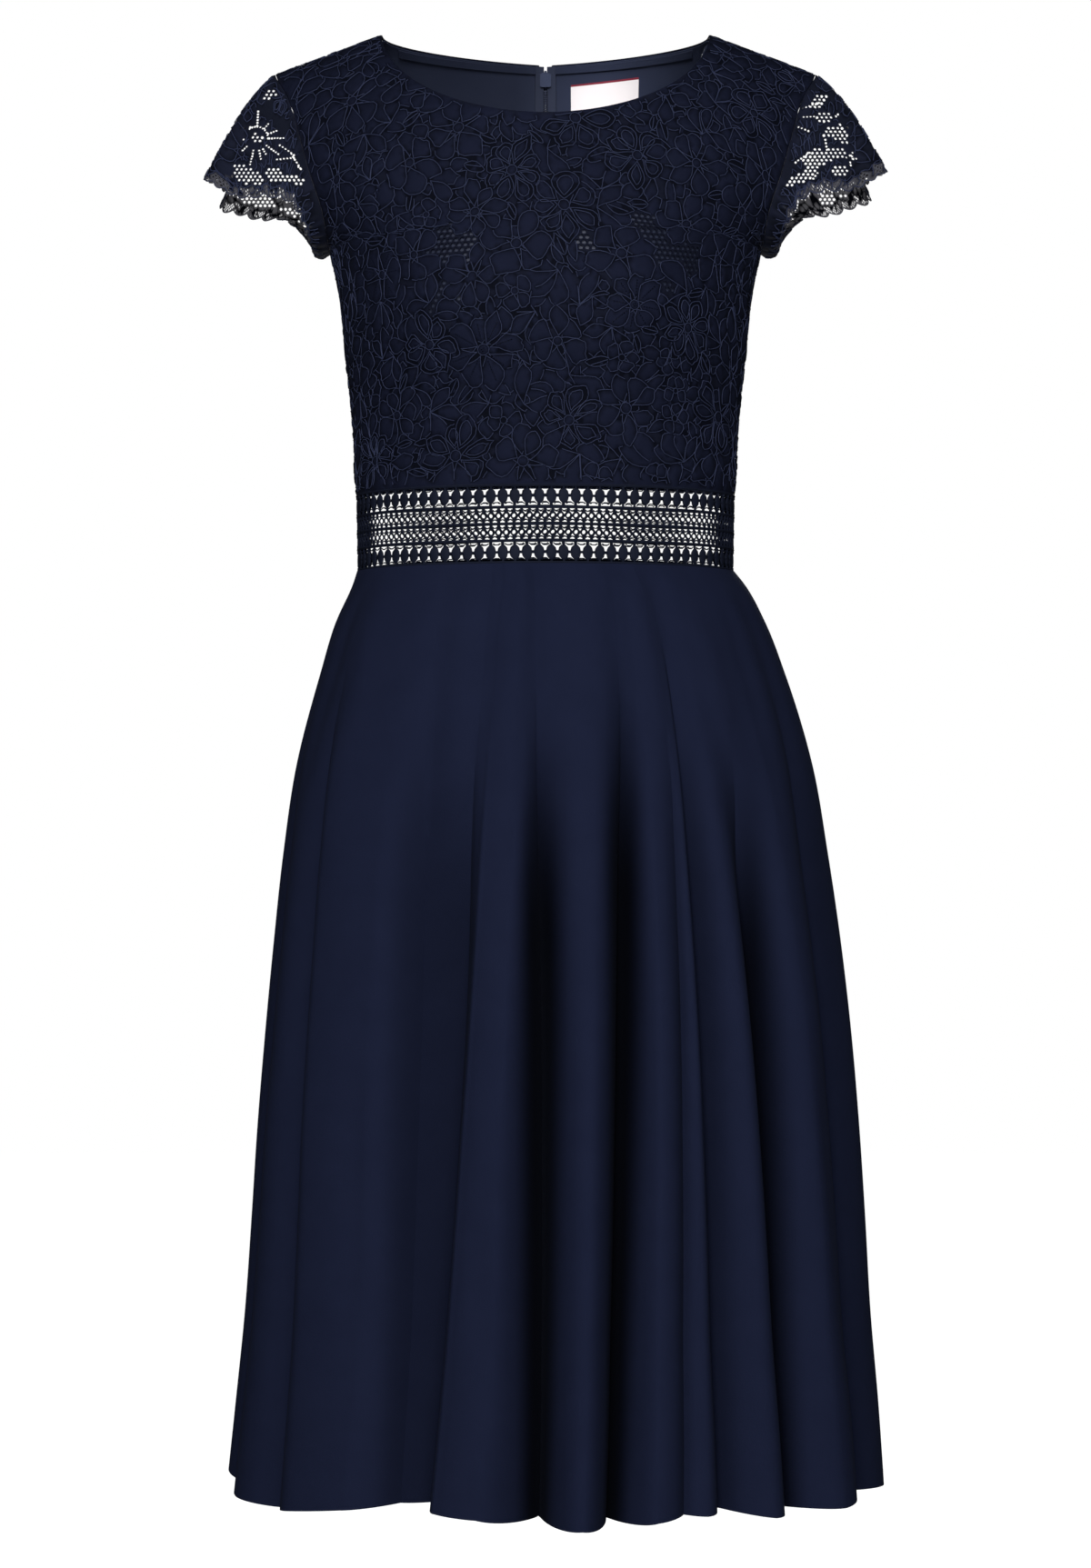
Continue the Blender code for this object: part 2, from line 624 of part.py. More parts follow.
def fold_columns():
    """Columns round the skirt, one on each ridge and valley: angle, reach, start height and rise of the hem."""
    columns = []
    for here, beyond in zip(FOLDS[:-1], FOLDS[1:]):
        rising = beyond[1] > here[1]
        low, high = sorted((here[1], beyond[1]))
        for from_valley in FOLD_STEPS if rising else (1.0, *FOLD_STEPS[:0:-1]):
            share = from_valley if rising else 1.0 - from_valley
            angle, _, start, rise = (a + (b - a) * share for a, b in zip(here, beyond))
            reach = low + (high - low) * math.sin(math.pi / 2 * from_valley) ** FOLD_ROUNDNESS
            columns.append((math.radians(angle), reach, start, rise))
    return np.array(columns).T


def skirt_ring(share, angles, reaches, starts, rises):
    """Points of the skirt's outer surface round it, at a share of the way down."""
    top = WAIST_BOTTOM - 2.5 * SEAM + waist_rise(np.pi - angles, BACK)
    z = top + (HEM_Z + rises - top) * share
    depth = np.where(np.cos(angles) > 0, read(SKIRT, "front", z), read(SKIRT, "back", z))
    reach = reaches * (1 - np.exp(-np.maximum(starts - z, 0.0) / FOLD_GROWTH))
    x = read(SKIRT, "centre", z) + np.sin(angles) * (read(SKIRT, "half_width", z) + reach)
    return np.stack([x, -np.cos(angles) * (depth + reach), z], axis=1)


def build_skirt(material):
    """Build the front and back of the skirt."""
    columns = fold_columns()
    rings = np.array([skirt_ring(share, *columns) for share in SKIRT_ROWS])
    around = np.roll(rings, -1, axis=1) - np.roll(rings, 1, axis=1)
    normals = unit(np.cross(np.gradient(rings, axis=0), around))
    outward = unit(rings - rings.mean(axis=1, keepdims=True))
    if np.mean(np.sum(normals * outward, axis=2)) < 0:
        normals = -normals
    left_seam = int(np.argmin(np.abs(columns[0] - math.pi / 2)))
    count = rings.shape[1]
    for name, face, first, last in (("front", FRONT, 0, left_seam), ("back", BACK, left_seam, count)):
        panel = np.arange(first, last + 1) % count
        outer = rings[:, panel]
        out = normals[:, panel]
        for end in (0, -1):
            outer[:, end, 1] = face * SEAM / 2
            out[:, end, 1] = 0.0
        out = unit(out)
        add_wall(f"skirt_{name}", outer, outer - out * SKIRT_CLOTH, material)


def main():
    """Build the dress."""
    for old in list(bpy.data.objects):
        bpy.data.objects.remove(old, do_unlink=True)
    navy_lace = finish("navy_lace", (0.0100, 0.0128, 0.0262), 0.75, sheen=0.2)
    navy_lining = finish("navy_lining", (0.0140, 0.0180, 0.0370), 0.45)
    navy_crepe = finish("navy_crepe", (0.0090, 0.0115, 0.0290), 0.62, sheen=0.3)
    navy_tape = finish("navy_tape", (0.0120, 0.0150, 0.0320), 0.7)
    navy_metal = finish("navy_metal", (0.0500, 0.0650, 0.1200), 0.35, metallic=0.4)
    ivory_satin = finish("ivory_satin", (0.78, 0.69, 0.71), 0.5)
    build_bodice(navy_lace, navy_lining)
    build_neck_facing(navy_lining)
    build_zip(navy_tape, navy_metal)
    build_label(ivory_satin)
    build_sleeves(navy_lace)
    build_waistband(navy_lace)
    build_skirt(navy_crepe)


main()
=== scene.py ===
"""A knee-length cocktail dress, filled out as it is worn.

The bodice and cap sleeves are corded lace, the waistband is open lace, and the skirt is crepe in soft deep
folds. Metres, +Z up. The front faces -Y, and the wearer's left is at +X.
"""

import logging
import math
from dataclasses import dataclass, field
from enum import Enum
from typing import Callable, Iterable, Sequence

import bpy
import numpy as np
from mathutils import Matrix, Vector
from mathutils.geometry import delaunay_2d_cdt


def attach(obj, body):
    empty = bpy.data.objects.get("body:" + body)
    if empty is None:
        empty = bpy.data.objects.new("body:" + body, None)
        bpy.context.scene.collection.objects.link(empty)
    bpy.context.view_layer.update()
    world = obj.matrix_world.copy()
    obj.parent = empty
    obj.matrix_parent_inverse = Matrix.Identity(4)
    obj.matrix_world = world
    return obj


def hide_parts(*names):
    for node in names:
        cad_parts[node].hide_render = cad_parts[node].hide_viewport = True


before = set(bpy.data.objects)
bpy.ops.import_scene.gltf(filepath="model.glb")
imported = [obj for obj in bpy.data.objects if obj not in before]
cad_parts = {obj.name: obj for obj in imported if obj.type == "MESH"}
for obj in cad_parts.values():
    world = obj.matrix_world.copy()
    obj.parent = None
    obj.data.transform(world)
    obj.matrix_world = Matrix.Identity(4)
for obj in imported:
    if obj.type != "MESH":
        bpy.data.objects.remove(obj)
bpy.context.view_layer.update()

Array = np.ndarray
Table = dict[str, tuple[float, ...]]
Triple = tuple[float, float, float]
Object = bpy.types.Object
Mesh = bpy.types.Mesh
Material = bpy.types.Material
Socket = bpy.types.NodeSocket

LOG = logging.getLogger("dress")
CAMERA = (0.0, -2.30, -0.5136)
GOLDEN_ANGLE = 2.399963
TOUCH = 1e-9
# Gaps and cloth thicknesses, in metres.
SEAM = 0.0003
LACE = 0.0012
LINING = 0.0010
LINING_GAP = 0.0011
SKIRT_CLOTH = 0.0014
SHARP = math.radians(40)


class Face(Enum):
    """The side of the dress that a panel is on, as the sign of its depth."""

    FRONT = -1
    BACK = 1


class Held(Enum):
    """How a cloth piece is held in the finished dress."""

    HUNG = "hung"
    LAID = "laid"
    STRETCHED = "stretched"
    GATHERED = "gathered"


class Slot(Enum):
    """The record's material slots."""

    LACE = "navy_lace"
    BAND = "navy_band_lace"
    LINING = "navy_lining"
    CREPE = "navy_crepe"
    TAPE = "navy_tape"
    METAL = "navy_metal"
    LABEL = "ivory_satin"


# ---------------------------------------------------------------- numbers


def read(table: Table, column: str, places: Array | float) -> Array:
    """Read a column of a table along a smooth curve through its rows.

    Args:
        table: Columns by name; the first one holds the knots.
        column: The column to read.
        places: Where to read it, in the knots' units.

    Returns:
        The values there.
    """
    knots = np.asarray(next(iter(table.values())), float)
    values = np.asarray(table[column], float)
    slopes = np.gradient(values, knots)
    places = np.clip(places, knots[0], knots[-1])
    low = np.clip(np.searchsorted(knots, places) - 1, 0, len(knots) - 2)
    span = knots[low + 1] - knots[low]
    t = (places - knots[low]) / span
    return (
        values[low] * (1 + 2 * t) * (1 - t) ** 2
        + values[low + 1] * t**2 * (3 - 2 * t)
        + slopes[low] * span * t * (1 - t) ** 2
        - slopes[low + 1] * span * t**2 * (1 - t)
    )


def unit(vectors: Array) -> Array:
    """Scale each vector of an array to length 1."""
    return vectors / np.maximum(np.linalg.norm(vectors, axis=-1, keepdims=True), 1e-12)


def ease(values: Array) -> Array:
    """Smooth step from 0 to 1 for values from 0 to 1."""
    t = np.clip(values, 0.0, 1.0)
    return t * t * (3 - 2 * t)


def lengths_along(line: Array) -> Array:
    """Distance along a line at each of its points."""
    steps = np.linalg.norm(np.diff(line, axis=0), axis=1)
    return np.concatenate([[0.0], np.cumsum(steps)])


def spaced(line: Array, step: float, least: int = 2) -> Array:
    """Lay evenly spaced points on a line.

    Args:
        line: The line's points.
        step: The wanted distance between points.
        least: The fewest points to return.

    Returns:
        The new points, with the line's own ends.
    """
    along = lengths_along(line)
    count = max(least, math.ceil(along[-1] / step) + 1)
    at = np.linspace(0.0, along[-1], count)
    return np.stack([np.interp(at, along, column) for column in line.T], axis=1)


def turned(points: Array, angle: float) -> Array:
    """Turn flat points about their origin."""
    c, s = math.cos(angle), math.sin(angle)
    return points @ np.array([[c, s], [-s, c]])


def mesh_normals(points: Array, triangles: Array) -> Array:
    """Unit normals at a mesh's points, weighted by the area of its triangles."""
    a, b, c = (points[triangles[:, i]] for i in range(3))
    faces = np.cross(b - a, c - a)
    normals = np.zeros_like(points)
    for i in range(3):
        np.add.at(normals, triangles[:, i], faces)
    return unit(normals)


# ---------------------------------------------------------------- meshes


def add_object(name: str, data: bpy.types.ID) -> Object:
    """Make an object and link it to the scene."""
    made = bpy.data.objects.new(name, data)
    bpy.context.scene.collection.objects.link(made)
    return made


def add_mesh(
    name: str,
    points: Array,
    triangles: Array,
    material: Material,
    values: dict[str, Array] | None = None,
    flat: Array | None = None,
) -> Object:
    """Make a smooth mesh object from triangles.

    Args:
        name: The object's name.
        points: The corners.
        triangles: Three corner numbers a row.
        material: Its material.
        values: Named numbers at the points, for the material.
        flat: Places of the points on the flat cloth, kept as a UV map in metres.

    Returns:
        The new object.
    """
    mesh = bpy.data.meshes.new(name)
    mesh.vertices.add(len(points))
    mesh.vertices.foreach_set("co", np.ascontiguousarray(points, np.float32).ravel())
    corners = np.ascontiguousarray(triangles, np.int32).ravel()
    mesh.loops.add(len(corners))
    mesh.loops.foreach_set("vertex_index", corners)
    mesh.polygons.add(len(triangles))
    mesh.polygons.foreach_set("loop_start", np.arange(0, len(corners), 3, dtype=np.int32))
    mesh.update(calc_edges=True)
    for key, numbers in (values or {}).items():
        layer = mesh.attributes.new(key, "FLOAT", "POINT")
        layer.data.foreach_set("value", np.ascontiguousarray(numbers, np.float32))
    if flat is not None:
        layer = mesh.uv_layers.new(name="cloth")
        layer.data.foreach_set("uv", np.ascontiguousarray(flat[corners], np.float32).ravel())
    mesh.materials.append(material)
    mesh.shade_smooth()
    mesh.set_sharp_from_angle(angle=SHARP)
    return add_object(name, mesh)


def closed_shell(triangles: Array, count: int) -> Array:
    """Close two copies of a sheet into one shell, with walls along every open edge.

    Args:
        triangles: The outer sheet's triangles, which point outwards.
        count: How many points the sheet has; the inner copy's follow them.

    Returns:
        The shell's triangles.
    """
    start = triangles.ravel()
    end = triangles[:, [1, 2, 0]].ravel()
    key = start.astype(np.int64) * count + end
    back = end.astype(np.int64) * count + start
    open_edge = ~np.isin(key, back)
    a, b = start[open_edge], end[open_edge]
    walls = [np.stack([b, a, a + count], axis=1), np.stack([b, a + count, b + count], axis=1)]
    return np.concatenate([triangles, triangles[:, ::-1] + count, *walls])


def grid_triangles(rows: int, columns: int, closed_round: bool = False) -> Array:
    """Triangles of a grid of points, row by row."""
    across = columns if closed_round else columns - 1
    r, c = np.meshgrid(np.arange(rows - 1), np.arange(across), indexing="ij")
    r, c = r.ravel(), c.ravel()
    beside = (c + 1) % columns
    a, b = r * columns + c, r * columns + beside
    d, e = (r + 1) * columns + c, (r + 1) * columns + beside
    return np.concatenate([np.stack([a, b, e], axis=1), np.stack([a, e, d], axis=1)])


def add_sheet(
    name: str,
    outer: Array,
    normals: Array,
    thickness: float,
    material: Material,
    flat: Array,
    values: dict[str, Array] | None = None,
) -> Object:
    """Make a closed sheet of cloth from a grid of points.

    Args:
        name: The object's name.
        outer: Outer points, rows by columns by 3.
        normals: Outward normals at them.
        thickness: The cloth's thickness.
        material: Its material.
        flat: Places on the flat cloth, rows by columns by 2.
        values: Named numbers at the grid's points.

    Returns:
        The new object.
    """
    triangles = grid_triangles(*outer.shape[:2])
    points = outer.reshape(-1, 3)
    out = normals.reshape(-1, 3)
    facing = mesh_normals(points, triangles)
    if np.mean(np.sum(facing * out, axis=1)) < 0:
        triangles = triangles[:, ::-1]
    shell = closed_shell(triangles, len(points))
    doubled = {key: np.tile(numbers.ravel(), 2) for key, numbers in (values or {}).items()}
    both = np.concatenate([points, points - out * thickness])
    return add_mesh(name, both, shell, material, doubled, np.tile(flat.reshape(-1, 2), (2, 1)))


def plain_copy(piece: Object, name: str) -> Object:
    """Turn what a piece's modifiers make into a plain mesh, and drop the piece and its modifiers.

    Args:
        piece: The object with the modifiers.
        name: The new object's name.

    Returns:
        A new object with a plain mesh.
    """
    bpy.context.view_layer.update()
    graph = bpy.context.evaluated_depsgraph_get()
    mesh = bpy.data.meshes.new_from_object(piece.evaluated_get(graph))
    piece.modifiers.clear()
    bpy.data.objects.remove(piece)
    mesh.name = name
    return add_object(name, mesh)


# ---------------------------------------------------------------- geometry node trees


class NodeTree:
    """A small helper that adds and joins nodes of one tree."""

    def __init__(self, tree: bpy.types.NodeTree) -> None:
        """Hold the tree to build in."""
        self.tree = tree

    def add(self, kind: str, settings: dict | None = None, **inputs) -> bpy.types.Node:
        """Add a node.

        Args:
            kind: The node's type.
            settings: Properties to set on it.
            **inputs: Values or sockets for its inputs, by name with _ for a space.

        Returns:
            The node.
        """
        node = self.tree.nodes.new(kind)
        for key, value in (settings or {}).items():
            setattr(node, key, value)
        for key, value in inputs.items():
            socket = next(s for s in node.inputs if s.name == key.replace("_", " ") and s.enabled)
            self.give(socket, value)
        return node

    def give(self, socket: Socket, value) -> None:
        """Join a socket to an input, or set the input's value."""
        if isinstance(value, Socket):
            self.tree.links.new(value, socket)
        else:
            socket.default_value = value

    def maths(self, operation: str, a, b=0.0) -> Socket:
        """Add a Math node and return its result."""
        node = self.tree.nodes.new("ShaderNodeMath")
        node.operation = operation
        self.give(node.inputs[0], a)
        self.give(node.inputs[1], b)
        return node.outputs[0]

    def mix(self, factor: Socket, first, second) -> Socket:
        """Add a Mix node of two colours, each given or from a socket, and return its result."""
        node = self.add("ShaderNodeMix", {"data_type": "RGBA"})
        self.give(node.inputs["Factor"], factor)
        for number, colour in ((6, first), (7, second)):
            from_socket = isinstance(colour, Socket)
            self.give(node.inputs[number], colour if from_socket else (*colour, 1.0))
        return node.outputs[2]

    def named(self, name: str) -> Socket:
        """Add a node that reads a mesh's named number, and return the number."""
        return self.add("ShaderNodeAttribute", {"attribute_name": name}).outputs["Fac"]


class GeometryTree(NodeTree):
    """A Geometry Nodes tree with named inputs."""

    def __init__(self, name: str, inputs: Sequence[tuple[str, str]]) -> None:
        """Make the tree and its sockets.

        Args:
            name: The tree's name.
            inputs: Name and socket type of each input after the geometry.
        """
        super().__init__(bpy.data.node_groups.new(name, "GeometryNodeTree"))
        face = self.tree.interface
        face.new_socket("Geometry", in_out="INPUT", socket_type="NodeSocketGeometry")
        self.names = {}
        for label, kind in inputs:
            socket = face.new_socket(label, in_out="INPUT", socket_type=kind)
            self.names[label] = socket.identifier
        face.new_socket("Geometry", in_out="OUTPUT", socket_type="NodeSocketGeometry")
        self.source = self.tree.nodes.new("NodeGroupInput")
        self.out = self.tree.nodes.new("NodeGroupOutput")

    def dress(self, piece: Object, **values) -> None:
        """Put the tree on a piece.

        Args:
            piece: The object to put it on.
            **values: The inputs' values, by name.
        """
        modifier = piece.modifiers.new(self.tree.name, "NODES")
        modifier.node_group = self.tree
        for key, value in values.items():
            modifier[self.names[key]] = value

    def end(self, geometry: Socket) -> None:
        """Lead geometry out of the tree as a plain mesh in its finish."""
        whole = self.add("GeometryNodeRealizeInstances", Geometry=geometry)
        finish = self.source.outputs["Finish"]
        done = self.add("GeometryNodeSetMaterial", Geometry=whole.outputs[0], Material=finish)
        self.give(self.out.inputs[0], done.outputs[0])


def sweep_tree() -> GeometryTree:
    """Build the tree that makes round cords along a piece's edges."""
    tree = GeometryTree(
        "cords_along_edges",
        [("Radius", "NodeSocketFloat"), ("Sides", "NodeSocketInt"), ("Finish", "NodeSocketMaterial")],
    )
    source = tree.source.outputs
    line = tree.add("GeometryNodeMeshToCurve", Mesh=source["Geometry"]).outputs[0]
    circle = tree.add("GeometryNodeCurvePrimitiveCircle", Resolution=source["Sides"], Radius=source["Radius"])
    tube = tree.add("GeometryNodeCurveToMesh", Curve=line, Profile_Curve=circle.outputs[0], Fill_Caps=True)
    tree.end(tree.add("GeometryNodeSetShadeSmooth", Geometry=tube.outputs[0]).outputs[0])
    return tree


def repeat_tree() -> GeometryTree:
    """Build the tree that puts a unit on each point, turned to the point's own directions."""
    tree = GeometryTree("units_on_points", [("Unit", "NodeSocketObject"), ("Finish", "NodeSocketMaterial")])
    source = tree.source.outputs
    unit_mesh = tree.add("GeometryNodeObjectInfo", Object=source["Unit"])
    turn = tree.add("FunctionNodeAxesToRotation", {"primary_axis": "X", "secondary_axis": "Z"})
    for number, key in enumerate(("along", "out")):
        axis = tree.add("GeometryNodeInputNamedAttribute", {"data_type": "FLOAT_VECTOR"}, Name=key)
        tree.give(turn.inputs[number], axis.outputs[0])
    placed = tree.add(
        "GeometryNodeInstanceOnPoints",
        Points=source["Geometry"],
        Instance=unit_mesh.outputs["Geometry"],
        Rotation=turn.outputs[0],
    )
    tree.end(placed.outputs[0])
    return tree


@dataclass
class Haberdasher:
    """Makes cords and repeated units with the two Geometry Nodes trees."""

    sweep: GeometryTree = field(default_factory=sweep_tree)
    repeat: GeometryTree = field(default_factory=repeat_tree)
    touch: float = 1e-6

    def cords(
        self,
        name: str,
        lines: Iterable[Array],
        radius: float,
        sides: int,
        material: Material,
    ) -> Object:
        """Make round cords along lines.

        Args:
            name: The new object's name.
            lines: Each cord's points; a cord whose ends meet is closed.
            radius: The cords' radius.
            sides: How many sides a cord has.
            material: Their material.

        Returns:
            One plain mesh of all the cords.
        """
        points: list[Array] = []
        edges: list[Array] = []
        base = 0
        for line in lines:
            closed = len(line) > 3 and np.linalg.norm(line[0] - line[-1]) < self.touch
            line = line[:-1] if closed else line
            ids = np.arange(len(line)) + base
            ids = np.append(ids, base) if closed else ids
            points.append(line)
            edges.append(np.stack([ids[:-1], ids[1:]], axis=1))
            base += len(line)
        mesh = bpy.data.meshes.new(name + "_path")
        mesh.from_pydata(np.concatenate(points).tolist(), np.concatenate(edges).tolist(), [])
        path = add_object(name + "_path", mesh)
        self.sweep.dress(path, Radius=radius, Sides=sides, Finish=material)
        return plain_copy(path, name)

    def units(
        self,
        name: str,
        unit_mesh: Mesh,
        points: Array,
        along: Array,
        out: Array,
        material: Material,
    ) -> Object:
        """Repeat a unit on points.

        Args:
            name: The new object's name.
            unit_mesh: The unit, with its X along the row and its Z out of the cloth.
            points: Where the units go.
            along: The row's direction at each point.
            out: The direction out of the cloth at each point.
            material: Their material.

        Returns:
            One plain mesh of all the units.
        """
        shape = add_object(name + "_unit", unit_mesh)
        mesh = bpy.data.meshes.new(name + "_points")
        mesh.from_pydata(points.tolist(), [], [])
        for key, vectors in (("along", along), ("out", out)):
            layer = mesh.attributes.new(key, "FLOAT_VECTOR", "POINT")
            layer.data.foreach_set("vector", np.ascontiguousarray(vectors, np.float32).ravel())
        row = add_object(name + "_points", mesh)
        self.repeat.dress(row, Unit=shape, Finish=material)
        result = plain_copy(row, name)
        bpy.data.objects.remove(shape)
        return result


# ---------------------------------------------------------------- forms


TORSO: Table = {
    "z": (-0.364, -0.311, -0.256, -0.205, -0.170, -0.140, -0.119, -0.094, -0.066, -0.036, -0.014, 0.013),
    "half_width": (0.132, 0.133, 0.135, 0.141, 0.145, 0.151, 0.154, 0.162, 0.170, 0.179, 0.190, 0.190),
    "front": (0.098, 0.098, 0.104, 0.117, 0.121, 0.116, 0.112, 0.107, 0.101, 0.097, 0.096, 0.096),
    "back": (0.089, 0.088, 0.092, 0.098, 0.102, 0.105, 0.106, 0.106, 0.104, 0.101, 0.098, 0.096),
}


@dataclass(frozen=True)
class TorsoForm:
    """The shape that the bodice, the linings and the armholes lie on."""

    waist_z: float = -0.311
    back_rise: float = 0.0145
    shoulder_slope: float = 0.365
    neck_half: float = 0.1146
    neck_point_z: float = 0.013
    front_neck_z: float = -0.061
    back_neck_z: float = 0.008
    shoulder_roll: float = 0.110
    roll_power: float = 1.7
    underarm_z: float = -0.140
    armhole_round: float = 0.040
    front_armhole: float = 0.052
    back_armhole: float = 0.056
    bust_x: float = 0.076
    bust_z: float = -0.188
    bust_wide: float = 0.046
    bust_high: float = 0.052
    bust_out: float = 0.008
    bust_fade: float = 0.15
    settle_rounds: int = 12
    side_above: float = 0.004
    side_fade: float = 0.012

    def waist_low(self, u: Array, face: Face) -> Array:
        """Height of the waist seam, which rises towards the centre back."""
        rise = self.back_rise * np.maximum(np.cos(np.asarray(u, float) * math.pi / 2), 0.0)
        return self.waist_z + (rise if face is Face.BACK else 0.0 * rise)

    def ridge_z(self, x: Array) -> Array:
        """Height of the line along the top of the shoulder."""
        return self.neck_point_z - self.shoulder_slope * (np.abs(x) - self.neck_half)

    def depth(self, z: Array, face: Face) -> Array:
        """Depth of the form at the centre line."""
        return read(TORSO, "front" if face is Face.FRONT else "back", z)

    def edge_angle(self, z: Array, face: Face) -> Array:
        """Angle round the form, from the centre line, of the side seam or armhole."""
        rise = np.clip((z - self.underarm_z) / self.armhole_round, 0.0, 1.0)
        reach = self.front_armhole if face is Face.FRONT else self.back_armhole
        return np.arccos(reach * np.sqrt(1 - (1 - rise) ** 2) / self.depth(z, face))

    def across(self, u: Array, z: Array, face: Face) -> Array:
        """Distance from the centre line, for u from 0 there to 1 at the side seam or armhole."""
        angle = self.edge_angle(z, face)
        return read(TORSO, "half_width", z) * np.sin(u * angle) / np.sin(angle)

    def point(self, u: Array, z: Array, face: Face) -> Array:
        """Points of the form, for u from -1 to 1 across and heights z."""
        u, z = np.broadcast_arrays(np.asarray(u, float), np.asarray(z, float))
        x = self.across(np.abs(u), z, face)
        below = np.clip((self.ridge_z(x) - z) / self.shoulder_roll, 0.0, 1.0)
        roll = (1 - (1 - below) ** self.roll_power) ** (1 / self.roll_power)
        out = self.depth(z, face) * roll * np.cos(np.abs(u) * self.edge_angle(z, face))
        if face is Face.FRONT:
            sideways = (x - self.bust_x) / self.bust_wide
            upwards = (z - self.bust_z) / self.bust_high
            inside = ease((1 - np.abs(u)) / self.bust_fade)
            out = out + self.bust_out * inside * np.exp(-(sideways**2) - upwards**2)
        return np.stack([np.sign(u) * x, face.value * out, z], axis=-1)

    def neckline_z(self, x: Array, face: Face) -> Array:
        """Height of the neck edge."""
        share = np.clip(np.abs(x) / self.neck_half, 0.0, 1.0)
        low = self.front_neck_z if face is Face.FRONT else self.back_neck_z
        return low + (self.neck_point_z - low) * (1 - np.sqrt(1 - share**2))

    def top_z(self, u: Array, face: Face) -> Array:
        """Height of the neckline and shoulder seam."""
        z = np.zeros_like(np.asarray(u, float))
        for _ in range(self.settle_rounds):
            x = self.across(np.abs(u), z, face)
            z = np.where(x < self.neck_half, self.neckline_z(x, face), self.ridge_z(x))
        return z

    def u_at(self, x: Array, z: Array, face: Face) -> Array:
        """The u at a distance from the centre line."""
        angle = self.edge_angle(z, face)
        share = np.abs(x) * np.sin(angle) / read(TORSO, "half_width", z)
        return np.sign(x) * np.arcsin(np.minimum(share, 1.0)) / angle

    def hold_side(self, points: Array, face: Face) -> Array:
        """Keep points on their own side of the middle."""
        points[..., 1] = face.value * np.maximum(face.value * points[..., 1], 0.0)
        return points

    def level(self, points: Array, normals: Array, near: float) -> Array:
        """Level normals along the shoulder and side seams, where the front and back meet.

        Args:
            points: Points of a layer.
            normals: Their normals.
            near: How near the middle a normal is fully level.

        Returns:
            The unit normals.
        """
        deep = np.abs(points[..., 1])
        normals[..., 1] *= np.where(deep < near, 0.0, 1.0)
        sides = (points[..., 2] < self.underarm_z + self.side_above) & (deep < self.side_fade)
        normals[..., 1] *= np.where(sides, ease((deep - SEAM) / self.side_fade), 1.0)
        return unit(normals)

    def armhole(self, count: int) -> tuple[Array, Array, Array]:
        """Lay points round the wearer's right armhole, from the underarm over the front.

        Args:
            count: How many points.

        Returns:
            Points, the torso's normals there and directions out of the hole's edge.
        """
        halves = []
        for face in (Face.FRONT, Face.BACK):
            top = float(self.top_z(np.array([1.0]), face)[0])
            share = np.linspace(0.0, 1.0, 160)
            z = self.underarm_z + (top - self.underarm_z) * (1 - (1 - share) ** 1.5)
            edge = self.point(-np.ones_like(z), z, face)
            beside = self.point(-0.97 + 0 * z, z, face)
            above = self.point(-np.ones_like(z), z + 2e-4, face)
            normal = unit(np.cross(beside - edge, above - edge))
            normal *= np.sign(np.sum(normal * (edge - [0, 0, -0.1]), axis=1, keepdims=True))
            halves.append((edge, normal))
        line = np.concatenate([halves[0][0], halves[1][0][-2::-1]])
        normals = np.concatenate([halves[0][1], halves[1][1][-2::-1]])
        along = lengths_along(line)
        at = np.arange(count + 1) / count * along[-1]
        points = np.stack([np.interp(at, along, line[:, k]) for k in range(3)], axis=1)
        out = unit(np.stack([np.interp(at, along, normals[:, k]) for k in range(3)], axis=1))
        tangents = unit(np.gradient(points, axis=0))
        return points, out, -unit(np.cross(tangents, out))


SKIRT: Table = {
    "z": (
        -1.004, -0.947, -0.883, -0.819, -0.755, -0.691, -0.627,
        -0.563, -0.499, -0.435, -0.400, -0.372, -0.364,
    ),
    "half_width": (0.226, 0.221, 0.215, 0.211, 0.207, 0.202, 0.196, 0.189, 0.18, 0.163, 0.151, 0.137, 0.1325),
    "centre": (0.006, 0.007, 0.0075, 0.008, 0.008, 0.008, 0.0075, 0.0065, 0.006, 0.005, 0.0035, 0.002, 0.0),
    "front": (0.166, 0.163, 0.160, 0.157, 0.154, 0.151, 0.147, 0.142, 0.134, 0.122, 0.113, 0.1025, 0.0985),
    "back": (0.170, 0.166, 0.162, 0.158, 0.154, 0.149, 0.144, 0.137, 0.128, 0.114, 0.104, 0.0935, 0.0895),
}

